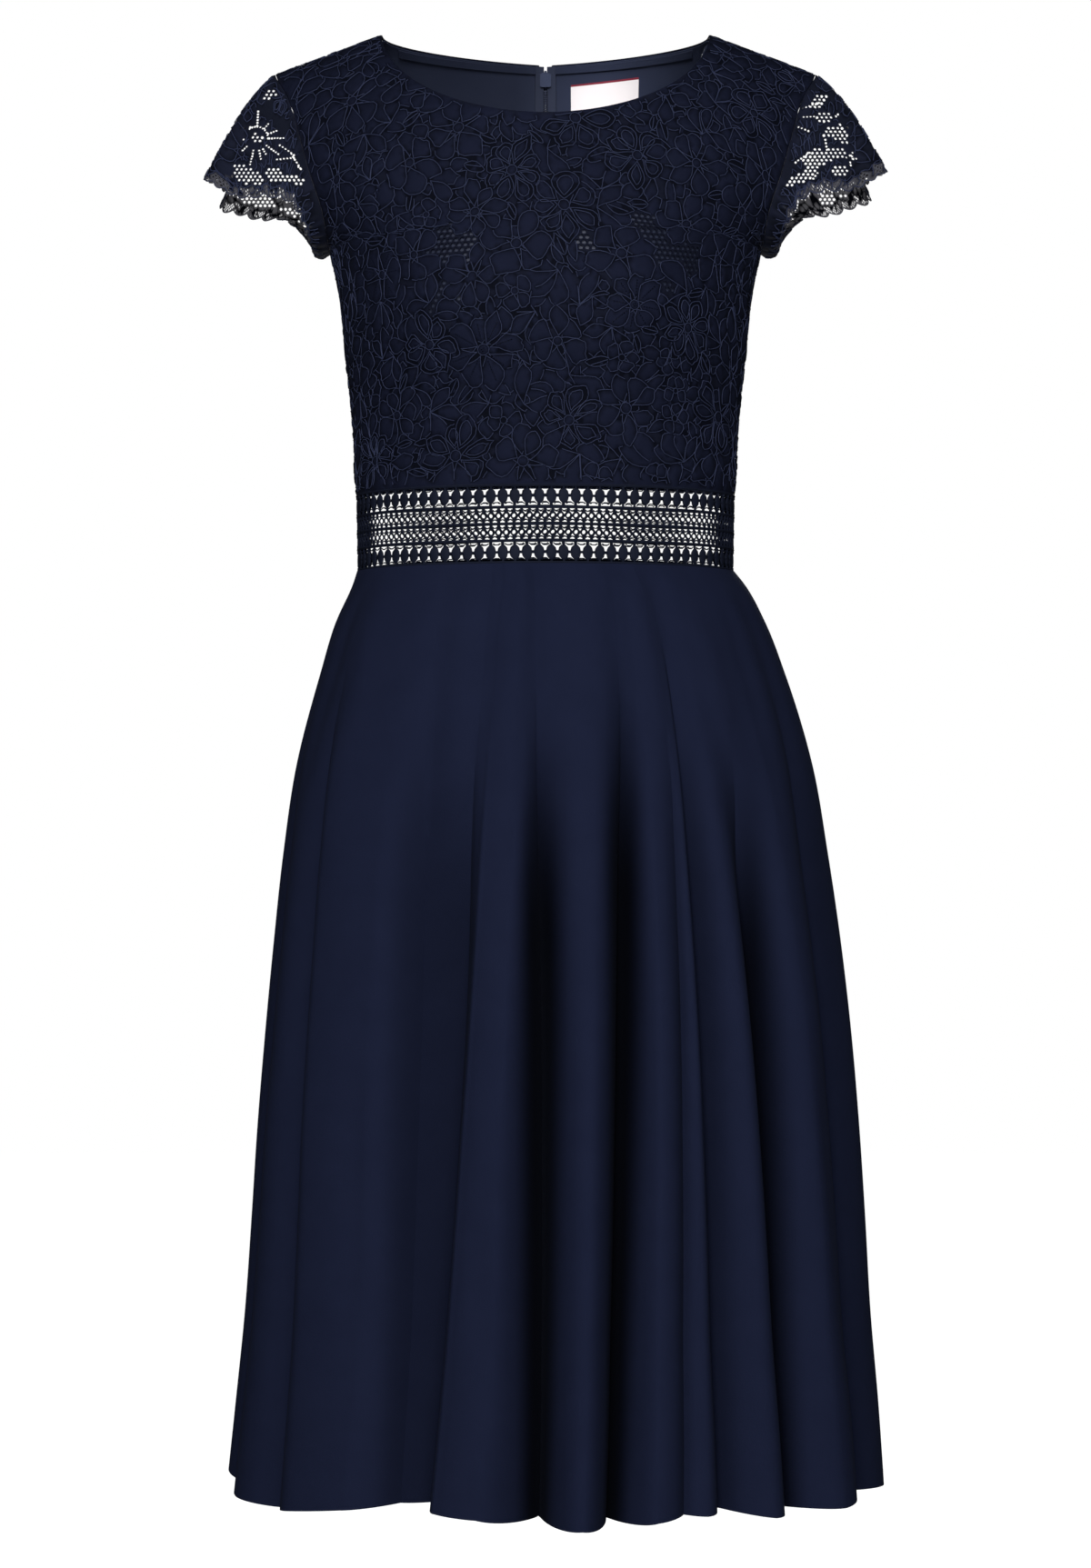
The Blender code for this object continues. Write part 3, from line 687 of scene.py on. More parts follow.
# Folds round the skirt from the wearer's right side seam, over the front: degrees, reach at the hem, height
# where the fold starts, rise of the hem, and how much painted shade darkens the fold's valley. LEANS turns
# the folds' tops.
FOLDS: tuple[tuple[float, float, float, float, float], ...] = (
    (-90.0, 0.004, -0.430, 0.009, 0.0),
    (-81.0, -0.008, -0.430, 0.004, 0.12),
    (-70.0, 0.006, -0.430, 0.001, 0.0),
    (-57.0, -0.008, -0.420, 0.000, 0.16),
    (-49.0, 0.010, -0.430, 0.004, 0.0),
    (-38.0, 0.007, -0.440, 0.009, 0.0),
    (-30.0, -0.014, -0.430, 0.012, 0.36),
    (-23.5, -0.019, -0.450, 0.013, 0.50),
    (-20.0, 0.006, -0.480, 0.012, 0.0),
    (-12.5, 0.014, -0.470, 0.011, 0.0),
    (-3.2, -0.030, -0.440, 0.003, 1.0),
    (4.2, 0.017, -0.440, 0.005, 0.0),
    (10.6, -0.029, -0.410, 0.002, 1.0),
    (16.6, 0.012, -0.430, 0.008, 0.0),
    (22.2, -0.001, -0.450, 0.010, 0.26),
    (25.8, 0.006, -0.450, 0.009, 0.0),
    (31.2, -0.015, -0.410, 0.009, 0.42),
    (38.0, 0.013, -0.430, 0.005, 0.0),
    (46.5, -0.021, -0.470, 0.004, 0.95),
    (55.5, 0.013, -0.420, 0.003, 0.0),
    (69.0, -0.011, -0.420, 0.005, 0.22),
    (90.0, 0.006, -0.430, -0.002, 0.0),
    (105.0, -0.011, -0.440, 0.002, 0.2),
    (120.0, 0.012, -0.440, 0.004, 0.0),
    (131.0, -0.016, -0.450, 0.007, 0.4),
    (140.0, 0.013, -0.450, 0.008, 0.0),
    (149.0, -0.020, -0.460, 0.006, 0.8),
    (158.0, 0.015, -0.440, 0.003, 0.0),
    (167.0, -0.022, -0.440, 0.005, 0.8),
    (176.0, 0.014, -0.440, 0.008, 0.0),
    (185.0, -0.024, -0.440, 0.007, 0.9),
    (193.5, 0.015, -0.450, 0.004, 0.0),
    (202.0, -0.016, -0.450, 0.002, 0.4),
    (211.0, 0.012, -0.440, 0.005, 0.0),
    (221.0, -0.020, -0.440, 0.008, 0.8),
    (233.0, 0.013, -0.430, 0.010, 0.0),
    (249.0, -0.011, -0.430, 0.008, 0.2),
    (270.0, 0.004, -0.430, 0.009, 0.0),
)
LEANS: Table = {
    "angle": (
        -90, -72, -49, -30, -22, -12.5, -3.2, 4.2, 10.6, 22, 31, 47, 70, 90, 120, 150, 180, 210, 240, 270,
    ),
    "lean": (0, 3, -6, 1, 9, 5, -1, 3, 6, 4, -3, -6, -4, 0, 3, -3, 2, -3, 3, 0),
}


@dataclass(frozen=True)
class Crease:
    """A soft drape in the crepe."""

    angle: float
    low_angle: float
    top: float
    low: float
    deep: float
    wide: float

    def dent(self, angles: Array, z: Array) -> Array:
        """How far in the cloth goes.

        Args:
            angles: Places round the skirt, in degrees.
            z: Their heights.

        Returns:
            The depths in metres.
        """
        share = np.clip((self.top - z) / (self.top - self.low), 0.0, 1.0)
        middle = self.angle + (self.low_angle - self.angle) * share
        off = (angles - middle + 180) % 360 - 180
        return self.deep * np.sin(math.pi * share**0.7) * np.exp(-((off / self.wide) ** 2))


CREASES: tuple[Crease, ...] = (
    Crease(-66, -70, -0.375, -0.540, 0.0020, 4.0),
    Crease(-54, -50, -0.370, -0.620, -0.0022, 6.0),
    Crease(-29, -29, -0.368, -0.600, 0.0030, 4.5),
    Crease(-17, -16, -0.380, -0.560, 0.0026, 4.0),
    Crease(-9, -10, -0.375, -0.560, -0.0022, 4.5),
    Crease(-4.6, -4.0, -0.385, -0.530, 0.0022, 2.6),
    Crease(7, 5, -0.380, -0.560, -0.0020, 4.0),
    Crease(17, 14, -0.375, -0.500, 0.0024, 2.6),
    Crease(24, 22, -0.375, -0.600, -0.0020, 3.6),
    Crease(29, 30, -0.368, -0.560, 0.0026, 3.6),
    Crease(41, 44, -0.378, -0.600, -0.0022, 4.6),
    Crease(54, 52, -0.385, -0.560, 0.0016, 4.0),
    Crease(66, 68, -0.375, -0.560, 0.0022, 5.0),
    Crease(-40, -36, -0.700, -0.960, 0.0024, 3.5),
    Crease(57, 60, -0.680, -0.940, 0.0022, 3.5),
    Crease(-14, -10, -0.780, -0.990, 0.0016, 2.6),
    Crease(112, 109, -0.370, -0.560, 0.0022, 5.0),
    Crease(128, 131, -0.380, -0.600, 0.0026, 4.0),
    Crease(143, 141, -0.372, -0.520, -0.0020, 4.5),
    Crease(156, 152, -0.368, -0.560, 0.0024, 3.6),
    Crease(171, 168, -0.376, -0.600, 0.0028, 4.0),
    Crease(183, 186, -0.370, -0.540, -0.0020, 4.4),
    Crease(196, 199, -0.380, -0.580, 0.0024, 3.8),
    Crease(214, 219, -0.372, -0.620, 0.0028, 4.2),
    Crease(229, 233, -0.368, -0.540, -0.0022, 5.0),
    Crease(247, 250, -0.378, -0.600, 0.0020, 4.6),
    Crease(136, 133, -0.720, -0.970, 0.0020, 3.4),
    Crease(191, 194, -0.700, -0.950, 0.0022, 3.0),
)


def cumulative(points: Array, axis: int) -> Array:
    """Distance along one axis of a grid of points, from its first row or column."""
    steps = np.linalg.norm(np.diff(points, axis=axis), axis=2)
    start = np.zeros_like(np.take(steps, [0], axis=axis))
    return np.concatenate([start, np.cumsum(steps, axis=axis)], axis=axis)


def between(table: Array, rows: Array, columns: Array) -> Array:
    """Read a grid of numbers at fractional rows and columns."""
    r = np.clip(rows, 0, table.shape[0] - 1.000001)
    c = np.clip(columns, 0, table.shape[1] - 1.000001)
    i, j = r.astype(int), c.astype(int)
    f, g = r - i, c - j
    low = table[i, j] * (1 - g) + table[i, j + 1] * g
    high = table[i + 1, j] * (1 - g) + table[i + 1, j + 1] * g
    return low * (1 - f) + high * f


def crossing(table: Array, wanted: Array) -> Array:
    """Fractional row at which each column of a rising table reaches a wanted value."""
    low = np.clip((table < wanted).sum(axis=0) - 1, 0, len(table) - 2)
    here = np.arange(table.shape[1])
    a, b = table[low, here], table[low + 1, here]
    return low + np.clip((wanted - a) / np.maximum(b - a, 1e-9), 0.0, 1.0)


@dataclass
class FlatTorso:
    """One face of the torso laid flat: distance across from the centre line, and up the cloth."""

    form: TorsoForm
    face: Face
    columns: int = 121
    coarse: float = 0.002
    fine: float = 0.0005
    fine_above: float = -0.03
    rounds: int = 6
    block: int = 12000

    def __post_init__(self) -> None:
        """Measure the form."""
        low = np.arange(self.form.waist_z, self.fine_above, self.coarse)
        high = np.arange(self.fine_above, self.form.neck_point_z + self.fine, self.fine)
        self.z = np.concatenate([low, high])
        self.u = np.linspace(0.0, 1.0, self.columns)
        grid = self.form.point(self.u[:, None], self.z[None, :], self.face)
        self.across = cumulative(grid, 0)
        self.up = cumulative(grid, 1)

    def flat(self, u: Array, z: Array) -> Array:
        """Places on the flat cloth of points of the form."""
        row = np.abs(u) * (self.columns - 1)
        column = np.interp(z, self.z, np.arange(len(self.z)))
        s = between(self.across, row, column)
        return np.stack([np.sign(u) * s, between(self.up, row, column)], axis=-1)

    def uz(self, flat: Array) -> tuple[Array, Array]:
        """The u and height of places on the flat cloth."""
        parts = []
        for start in range(0, len(flat), self.block):
            s, t = np.abs(flat[start : start + self.block, 0]), flat[start : start + self.block, 1]
            column = np.interp(t, self.up[self.columns // 2], np.arange(len(self.z)))
            row = np.zeros_like(column)
            for _ in range(self.rounds):
                j = np.clip(column.astype(int), 0, len(self.z) - 2)
                g = column - j
                row = crossing(self.across[:, j] * (1 - g) + self.across[:, j + 1] * g, s)
                i = np.clip(row.astype(int), 0, self.columns - 2)
                f = row - i
                column = crossing(self.up[i].T * (1 - f) + self.up[i + 1].T * f, t)
            z = np.interp(column, np.arange(len(self.z)), self.z)
            u = row / (self.columns - 1)
            parts.append(np.stack([np.sign(flat[start : start + self.block, 0]) * u, z]))
        u, z = np.concatenate(parts, axis=1)
        return u, z

    def spread(self, flat: Array) -> Array:
        """Points of the form at places on the flat cloth."""
        return self.form.point(*self.uz(flat), self.face)


class Panel:
    """A lace panel that is cut flat and laid on its form."""

    edge: Array
    outward: int

    def settle(self, points: Array, normals: Array) -> Array:
        """Correct the normals at the panel's points."""
        return normals

    def ripple(self, flat: Array) -> Array:
        """Height of the wrinkles at places on the flat cloth."""
        return np.zeros(len(flat))

    def pale(self, flat: Array) -> Array:
        """How much painted light, as a pale colour, the cloth has at flat places."""
        return np.zeros(len(flat))


@dataclass
class BodicePanel(Panel):
    """A bodice panel: the whole front, or one half of the back beside the zip."""

    torso: FlatTorso
    side: int = 0
    edge_step: float = 0.0024
    zip_open_below: float = 0.020
    zip_open_half: float = 0.0048
    zip_open_power: float = 1.5
    wrinkle_out: float = 0.0017
    wrinkle_pitch: float = 0.0126
    second_pitch: float = 0.0207
    wrinkle_top: float = 0.19
    level_near: float = 0.002
    tall: int = 500
    fine: int = 401

    def __post_init__(self) -> None:
        """Lay the panel's edge flat."""
        form, face = self.torso.form, self.torso.face
        tip = float(form.top_z(np.array([1.0]), face)[0])
        sides = np.linspace(form.waist_z, tip, self.tall)
        if self.side == 0:
            across = np.linspace(-1.0, 1.0, 2 * self.fine - 1)
            neck = across[::-1]
            last = (-np.ones(self.tall), sides[::-1])
        else:
            top = float(form.top_z(np.array([0.02]), face)[0])
            centre_z = np.linspace(top, float(form.waist_low(np.array(0.0), face)), self.tall)
            centre_u = form.u_at(self.zip_edge(centre_z), centre_z, face)
            across = np.linspace(centre_u[-1], 1.0, self.fine)
            neck = np.linspace(1.0, centre_u[0], self.fine)
            last = (centre_u, centre_z)
        waist = (across, form.waist_low(across, face))
        laid = []
        for u, z in (waist, (np.ones(self.tall), sides), (neck, form.top_z(neck, face)), last):
            place = self.torso.flat(u, z)
            along = lengths_along(place)
            at = np.linspace(0.0, along[-1], max(2, round(along[-1] / self.edge_step)) + 1)[:-1]
            laid.append(np.stack([np.interp(at, along, u), np.interp(at, along, z)], axis=1))
        edge = np.concatenate(laid)
        if self.side < 0:
            edge = (edge * [-1.0, 1.0])[::-1]
        self.edge_uz = edge
        self.edge = self.torso.flat(edge[:, 0], edge[:, 1])

    def zip_edge(self, z: Array) -> Array:
        """Distance of the zip's edge from the centre line: closed, and curling apart near the neck."""
        form = self.torso.form
        apart = np.clip((z - form.back_neck_z + self.zip_open_below) / self.zip_open_below, 0.0, 1.0)
        return SEAM / 2 + (self.zip_open_half - SEAM / 2) * apart**self.zip_open_power

    def place(self, flat: Array) -> Array:
        """Points on the form; the first ones are the edge's own."""
        count = len(self.edge)
        points = np.empty((len(flat), 3))
        points[:count] = self.torso.form.point(*self.edge_uz.T, self.torso.face)
        points[count:] = self.torso.spread(flat[count:])
        return self.torso.form.hold_side(points, self.torso.face)

    def settle(self, points: Array, normals: Array) -> Array:
        """Level the normals along the shoulder and side seams."""
        return self.torso.form.level(points, normals, self.level_near)

    def ripple(self, flat: Array) -> Array:
        """Height of the drag wrinkles that run up the panel beside its side seams."""
        across = np.abs(flat[:, 0])
        wide = np.abs(self.edge[:, 0]).max()
        beside = ease((across - 0.40 * wide) / (0.25 * wide)) * ease((0.93 * wide - across) / 0.020)
        high = ease(flat[:, 1] / 0.02) * ease((self.wrinkle_top - flat[:, 1]) / 0.07)
        lean = across + 0.10 * flat[:, 1] + 0.002 * np.sin(flat[:, 1] / 0.017)
        pitches = (self.wrinkle_pitch, self.second_pitch)
        first, second = (np.sin(lean / pitch * 2 * math.pi) for pitch in pitches)
        return self.wrinkle_out * beside * high * (0.5 + 0.3 * first + 0.2 * second)

    @property
    def outward(self) -> int:
        """1 where flat triangles that turn left face out."""
        return -self.torso.face.value


# Round a sleeve's hem from the underarm over the front: distance from the centre line, depth and drop.
SLEEVE_HEM: Table = {
    "round": (0.0, 0.1, 0.22, 0.33, 0.42, 0.465, 0.5, 0.545, 0.62, 0.7, 0.79, 0.88, 0.95, 1.0),
    "x": (0.160, 0.163, 0.173, 0.190, 0.215, 0.2355, 0.225, 0.232, 0.219, 0.205, 0.187, 0.173, 0.162, 0.160),
    "y": (0.0, -0.038, -0.055, -0.060, -0.050, -0.032, 0.006, 0.045, 0.060, 0.066, 0.062, 0.048, 0.028, 0.0),
    "drop": (0.138, 0.13, 0.112, 0.108, 0.105, 0.091, 0.093, 0.097, 0.1, 0.103, 0.105, 0.118, 0.132, 0.138),
}


@dataclass
class SleeveForm(Panel):
    """A cap sleeve, from the armhole out to its scalloped hem."""

    torso: TorsoForm
    left: bool = False
    count: int = 1040
    gap: float = 0.0004
    scallops: int = 33
    scallop_deep: float = 0.0038
    scallop_power: float = 0.8
    nominal: float = 0.085
    swell: float = 0.0062
    swell_high: float = 0.75
    swell_drop: float = 0.2
    left_lift: float = 0.005
    edge_step: float = 0.0016
    border: float = 0.008
    border_painted_light: float = 0.22
    eye: Array = field(default_factory=lambda: np.array(CAMERA))

    def __post_init__(self) -> None:
        """Lay out the armhole and the hem."""
        top, self.out, outward = self.torso.armhole(self.count)
        self.top = top + outward * self.gap
        places = np.arange(self.count + 1) / self.count
        x, y, drop = (read(SLEEVE_HEM, column, places) for column in ("x", "y", "drop"))
        hem = np.stack([-x, y, -drop], axis=1)
        lengths = np.linalg.norm(hem - self.top, axis=1, keepdims=True)
        hem = hem + lengths / self.nominal * [0.0, 0.0, self.left_lift if self.left else 0.0]
        down = unit(hem - self.top)
        along = lengths_along(hem)
        bay = np.abs(np.sin(math.pi * self.scallops * along / along[-1])) ** self.scallop_power
        self.low = hem + down * (self.scallop_deep * bay)[:, None]
        self.bulge = unit(self.out + down * self.swell_drop) * self.swell
        self.places = places
        self.lengths = np.linalg.norm(self.low - self.top, axis=1)
        self.round = (lengths_along(self.top)[-1] + lengths_along(self.low)[-1]) / 2
        count = round(self.round / self.edge_step)
        across = np.linspace(0.0, 1.0, count + 1)
        down_side = np.linspace(0.0, 1.0, 6)
        top_run = np.stack([across[:-1], 0 * across[:-1]], axis=1)
        far = np.stack([np.ones(5), down_side[:-1]], axis=1)
        low_run = np.stack([across[:0:-1], np.ones(count)], axis=1)
        near = np.stack([np.zeros(5), down_side[:0:-1]], axis=1)
        self.edge_wr = np.concatenate([top_run, far, low_run, near])
        self.edge = self.flat(*self.edge_wr.T)
        corner = len(top_run)
        self.seam_far = np.arange(corner, corner + len(far) + 1)
        start = corner + len(far) + len(low_run)
        self.seam_near = np.concatenate([[0], np.arange(start, start + len(near))[::-1]])

    def flat(self, w: Array, r: Array) -> Array:
        """Places on the flat cloth, for w round the armhole and r down the sleeve, both from 0 to 1."""
        return np.stack([w * self.round, r * np.interp(w, self.places, self.lengths)], axis=-1)

    def wr(self, flat: Array) -> tuple[Array, Array]:
        """The w and r of places on the flat cloth."""
        w = np.clip(flat[:, 0] / self.round, 0.0, 1.0)
        return w, np.clip(flat[:, 1] / np.interp(w, self.places, self.lengths), 0.0, 1.0)

    def at(self, w: Array, r: Array) -> Array:
        """Points of the sleeve."""
        r = np.asarray(r)[..., None]
        columns = [
            np.stack([np.interp(w, self.places, part[:, k]) for k in range(3)], axis=-1)
            for part in (self.top, self.low, self.bulge)
        ]
        top, low, bulge = columns
        points = top + (low - top) * r + bulge * np.sin(math.pi * r**self.swell_high)
        return points * ([-1.0, 1.0, 1.0] if self.left else [1.0, 1.0, 1.0])

    def place(self, flat: Array) -> Array:
        """Points of the sleeve at places on the flat cloth; the first ones are the edge's own."""
        count = len(self.edge)
        points = np.empty((len(flat), 3))
        points[:count] = self.at(*self.edge_wr.T)
        points[count:] = self.at(*self.wr(flat[count:]))
        return points

    def view(self, places: Array) -> Array:
        """Where flat places show when the sleeve is seen from the front: across and up."""
        points = self.at(*self.wr(places))
        near = -self.eye[1] / (points[:, 1:2] - self.eye[1])
        return self.eye[[0, 2]] + (points[:, [0, 2]] - self.eye[[0, 2]]) * near

    def under(self, shown: Array, front: bool) -> tuple[Array, Array]:
        """Find the flat places of one layer that show at given spots.

        Args:
            shown: Spots as seen from the front.
            front: Whether the front layer is wanted, or the back one.

        Returns:
            The flat places, and how far each one is off.
        """
        half = np.linspace(0.02, 0.497, 180) + (0.0 if front else 0.483)
        w, r = np.meshgrid(half, np.linspace(0.03, 0.96, 70))
        grid = self.flat(w.ravel(), r.ravel())
        seen = self.view(grid)
        places = np.array([grid[int(np.argmin(np.sum((seen - spot) ** 2, axis=1)))] for spot in shown])
        step, longest = 0.0004, 0.002
        for _ in range(3):
            here = self.view(places)
            side = (self.view(places + [step, 0.0]) - here) / step
            down = (self.view(places + [0.0, step]) - here) / step
            turn = np.stack([side, down], axis=2)
            scale = np.abs(np.linalg.det(turn))[:, None]
            move = np.linalg.solve(turn + 1e-6 * np.eye(2), (shown - here)[..., None])[..., 0]
            reach = np.linalg.norm(move, axis=1, keepdims=True)
            places = places + move * np.minimum(1.0, longest / np.maximum(reach, 1e-9)) * (scale > 0.02)
        return places, np.linalg.norm(self.view(places) - shown, axis=1)

    def hem_at(self, across: Array) -> Array:
        """How far down the flat cloth the hem lies, at distances across it."""
        return np.interp(across / self.round, self.places, self.lengths)

    def pale(self, flat: Array) -> Array:
        """Painted light: how pale the fine mesh of the border is painted, standing in for light that shows
        through it.
        """
        return self.border_painted_light * (flat[:, 1] > self.hem_at(flat[:, 0]) - self.border)

    @property
    def outward(self) -> int:
        """1 where flat triangles that turn left face out."""
        return -1 if self.left else 1


# ---------------------------------------------------------------- lace patterns


def petal(long: float, wide: float, points: int, fullest: float, wave: Sequence[float]) -> Array:
    """Outline of a petal that points along X from the origin.

    Args:
        long: Its length.
        wide: Its width.
        points: Points on each side of it.
        fullest: Where along it the petal is widest, from 0 to 1.
        wave: Depth, phase and count of the waves of its edge, and its bend.

    Returns:
        The outline.
    """
    power = math.log(0.5) / math.log(fullest)
    t = 0.5 - 0.5 * np.cos(np.linspace(0.0, math.pi, points))
    half = wide / 2 * np.sin(math.pi * t**power) ** 0.75
    side = np.stack([t * long, half], axis=1)
    outline = np.concatenate([side, side[-2:0:-1] * [1.0, -1.0]])
    deep, phase, count, bend = wave
    around = np.linspace(0.0, 2 * math.pi, len(outline), endpoint=False)
    swell = 1 + deep * np.sin(count * around + phase) * np.sin(around / 2)
    middle = np.array([long * 0.5, 0.0])
    outline = middle + (outline - middle) * swell[:, None]
    outline[:, 1] += bend * outline[:, 0] * (outline[:, 0] / long)
    return outline


def polar(reach: Array | float, angles: Array) -> Array:
    """Flat points at distances and angles from the origin."""
    return np.stack([reach * np.cos(angles), reach * np.sin(angles)], axis=1)


def ring(radius: float, points: int) -> Array:
    """A round outline about the origin."""
    return polar(radius, np.linspace(0.0, 2 * math.pi, points, endpoint=False))


@dataclass
class Motif:
    """One lace figure about the origin of its own flat frame."""

    shapes: list[Array]
    lines: list[Array] = field(default_factory=list)
    dots: list[Array] = field(default_factory=list)
    radius: float = 0.01

    def laid(self, centre: Array, angle: float) -> "Motif":
        """The motif turned and moved to a place on the cloth."""
        kinds = (self.shapes, self.lines, self.dots)
        return Motif(*([turned(part, angle) + centre for part in kind] for kind in kinds), radius=self.radius)


@dataclass(frozen=True)
class MotifMaker:
    """Draws the lace's figures, each a little different."""

    rng: np.random.Generator
    dot_pitch: float = 0.0019
    ribbed: float = 0.12
    wavy: float = 0.13

    def wave(self) -> tuple[float, float, float, float]:
        """Depth, phase and count of a petal's edge waves, and its bend."""
        rng = self.rng
        return (
            rng.uniform(0.3, 1.0) * self.wavy,
            rng.uniform(0, 2 * math.pi),
            float(rng.integers(3, 7)),
            rng.uniform(-0.22, 0.22),
        )

    def flower(self, radius: float, petals: int) -> Motif:
        """A large open flower with rings at its centre; some have open ribs or double outlines."""
        rng = self.rng
        shapes, lines, dots = [ring(radius * 0.15, 9)], [], []
        base = radius * 0.17
        ribbed = rng.random() < self.ribbed
        doubled = not ribbed and rng.random() < 0.4
        start = rng.uniform(0, 2 * math.pi)
        for k in range(petals):
            long = (radius - base) * rng.uniform(0.74, 1.12)
            wide = 2 * math.pi * radius * 0.66 / petals * rng.uniform(0.8, 1.3)
            angle = start + (k + rng.uniform(-0.22, 0.22)) * 2 * math.pi / petals
            wave = self.wave()
            fullest = rng.uniform(0.54, 0.72)
            shape = petal(long, wide, 10, fullest, wave)
            shapes.append(turned(shape + [base, 0.0], angle))
            if doubled:
                inner = petal(long * 0.72, wide * 0.58, 8, fullest, wave) + [base + long * 0.12, 0.0]
                lines.append(turned(np.concatenate([inner, inner[:1]]), angle))
            if ribbed:
                reach = base + np.arange(long * 0.18, long * 0.78, self.dot_pitch)
                dots.append(turned(np.stack([reach, 0 * reach], axis=1), angle))
        if ribbed:
            dots.append(ring(radius * 0.045, 4))
        return Motif(shapes, lines, dots, radius)

    def blossom(self, radius: float) -> Motif:
        """A small five-petalled flower."""
        rng = self.rng
        shapes = [ring(radius * 0.22, 7)]
        start = rng.uniform(0, 2 * math.pi)
        for k in range(5):
            wide = radius * rng.uniform(0.8, 1.1)
            shape = petal(radius * rng.uniform(0.74, 0.96), wide, 7, 0.6, self.wave()) + [radius * 0.2, 0.0]
            shapes.append(turned(shape, start + (k + rng.uniform(-0.12, 0.12)) * 2 * math.pi / 5))
        return Motif(shapes, radius=radius)

    def spray(self, long: float) -> Motif:
        """A few wavy petals that fan out from one point."""
        rng = self.rng
        shapes = []
        for angle in np.linspace(-0.95, 0.95, int(rng.integers(2, 5))) + rng.uniform(-0.2, 0.2):
            reach = long * rng.uniform(0.75, 1.0)
            shapes.append(turned(petal(reach, reach * rng.uniform(0.42, 0.62), 10, 0.64, self.wave()), angle))
        return Motif([shape - [long / 2, 0.0] for shape in shapes], radius=long / 2)

    def scrap(self, long: float) -> Motif:
        """One broad wavy petal."""
        shape = petal(long, long * self.rng.uniform(0.6, 0.95), 11, 0.55, self.wave())
        return Motif([shape - [long / 2, 0.0]], radius=long / 2)

    def leaf(self, long: float) -> Motif:
        """A leaf with a midrib."""
        wide = long * self.rng.uniform(0.34, 0.5)
        shape = petal(long, wide, 9, 0.46, self.wave()) - [long / 2, 0.0]
        rib = np.stack([np.linspace(-0.42, 0.3, 5) * long, np.linspace(0.0, 0.02, 5) * long], axis=1)
        return Motif([shape], [rib], radius=long / 2)


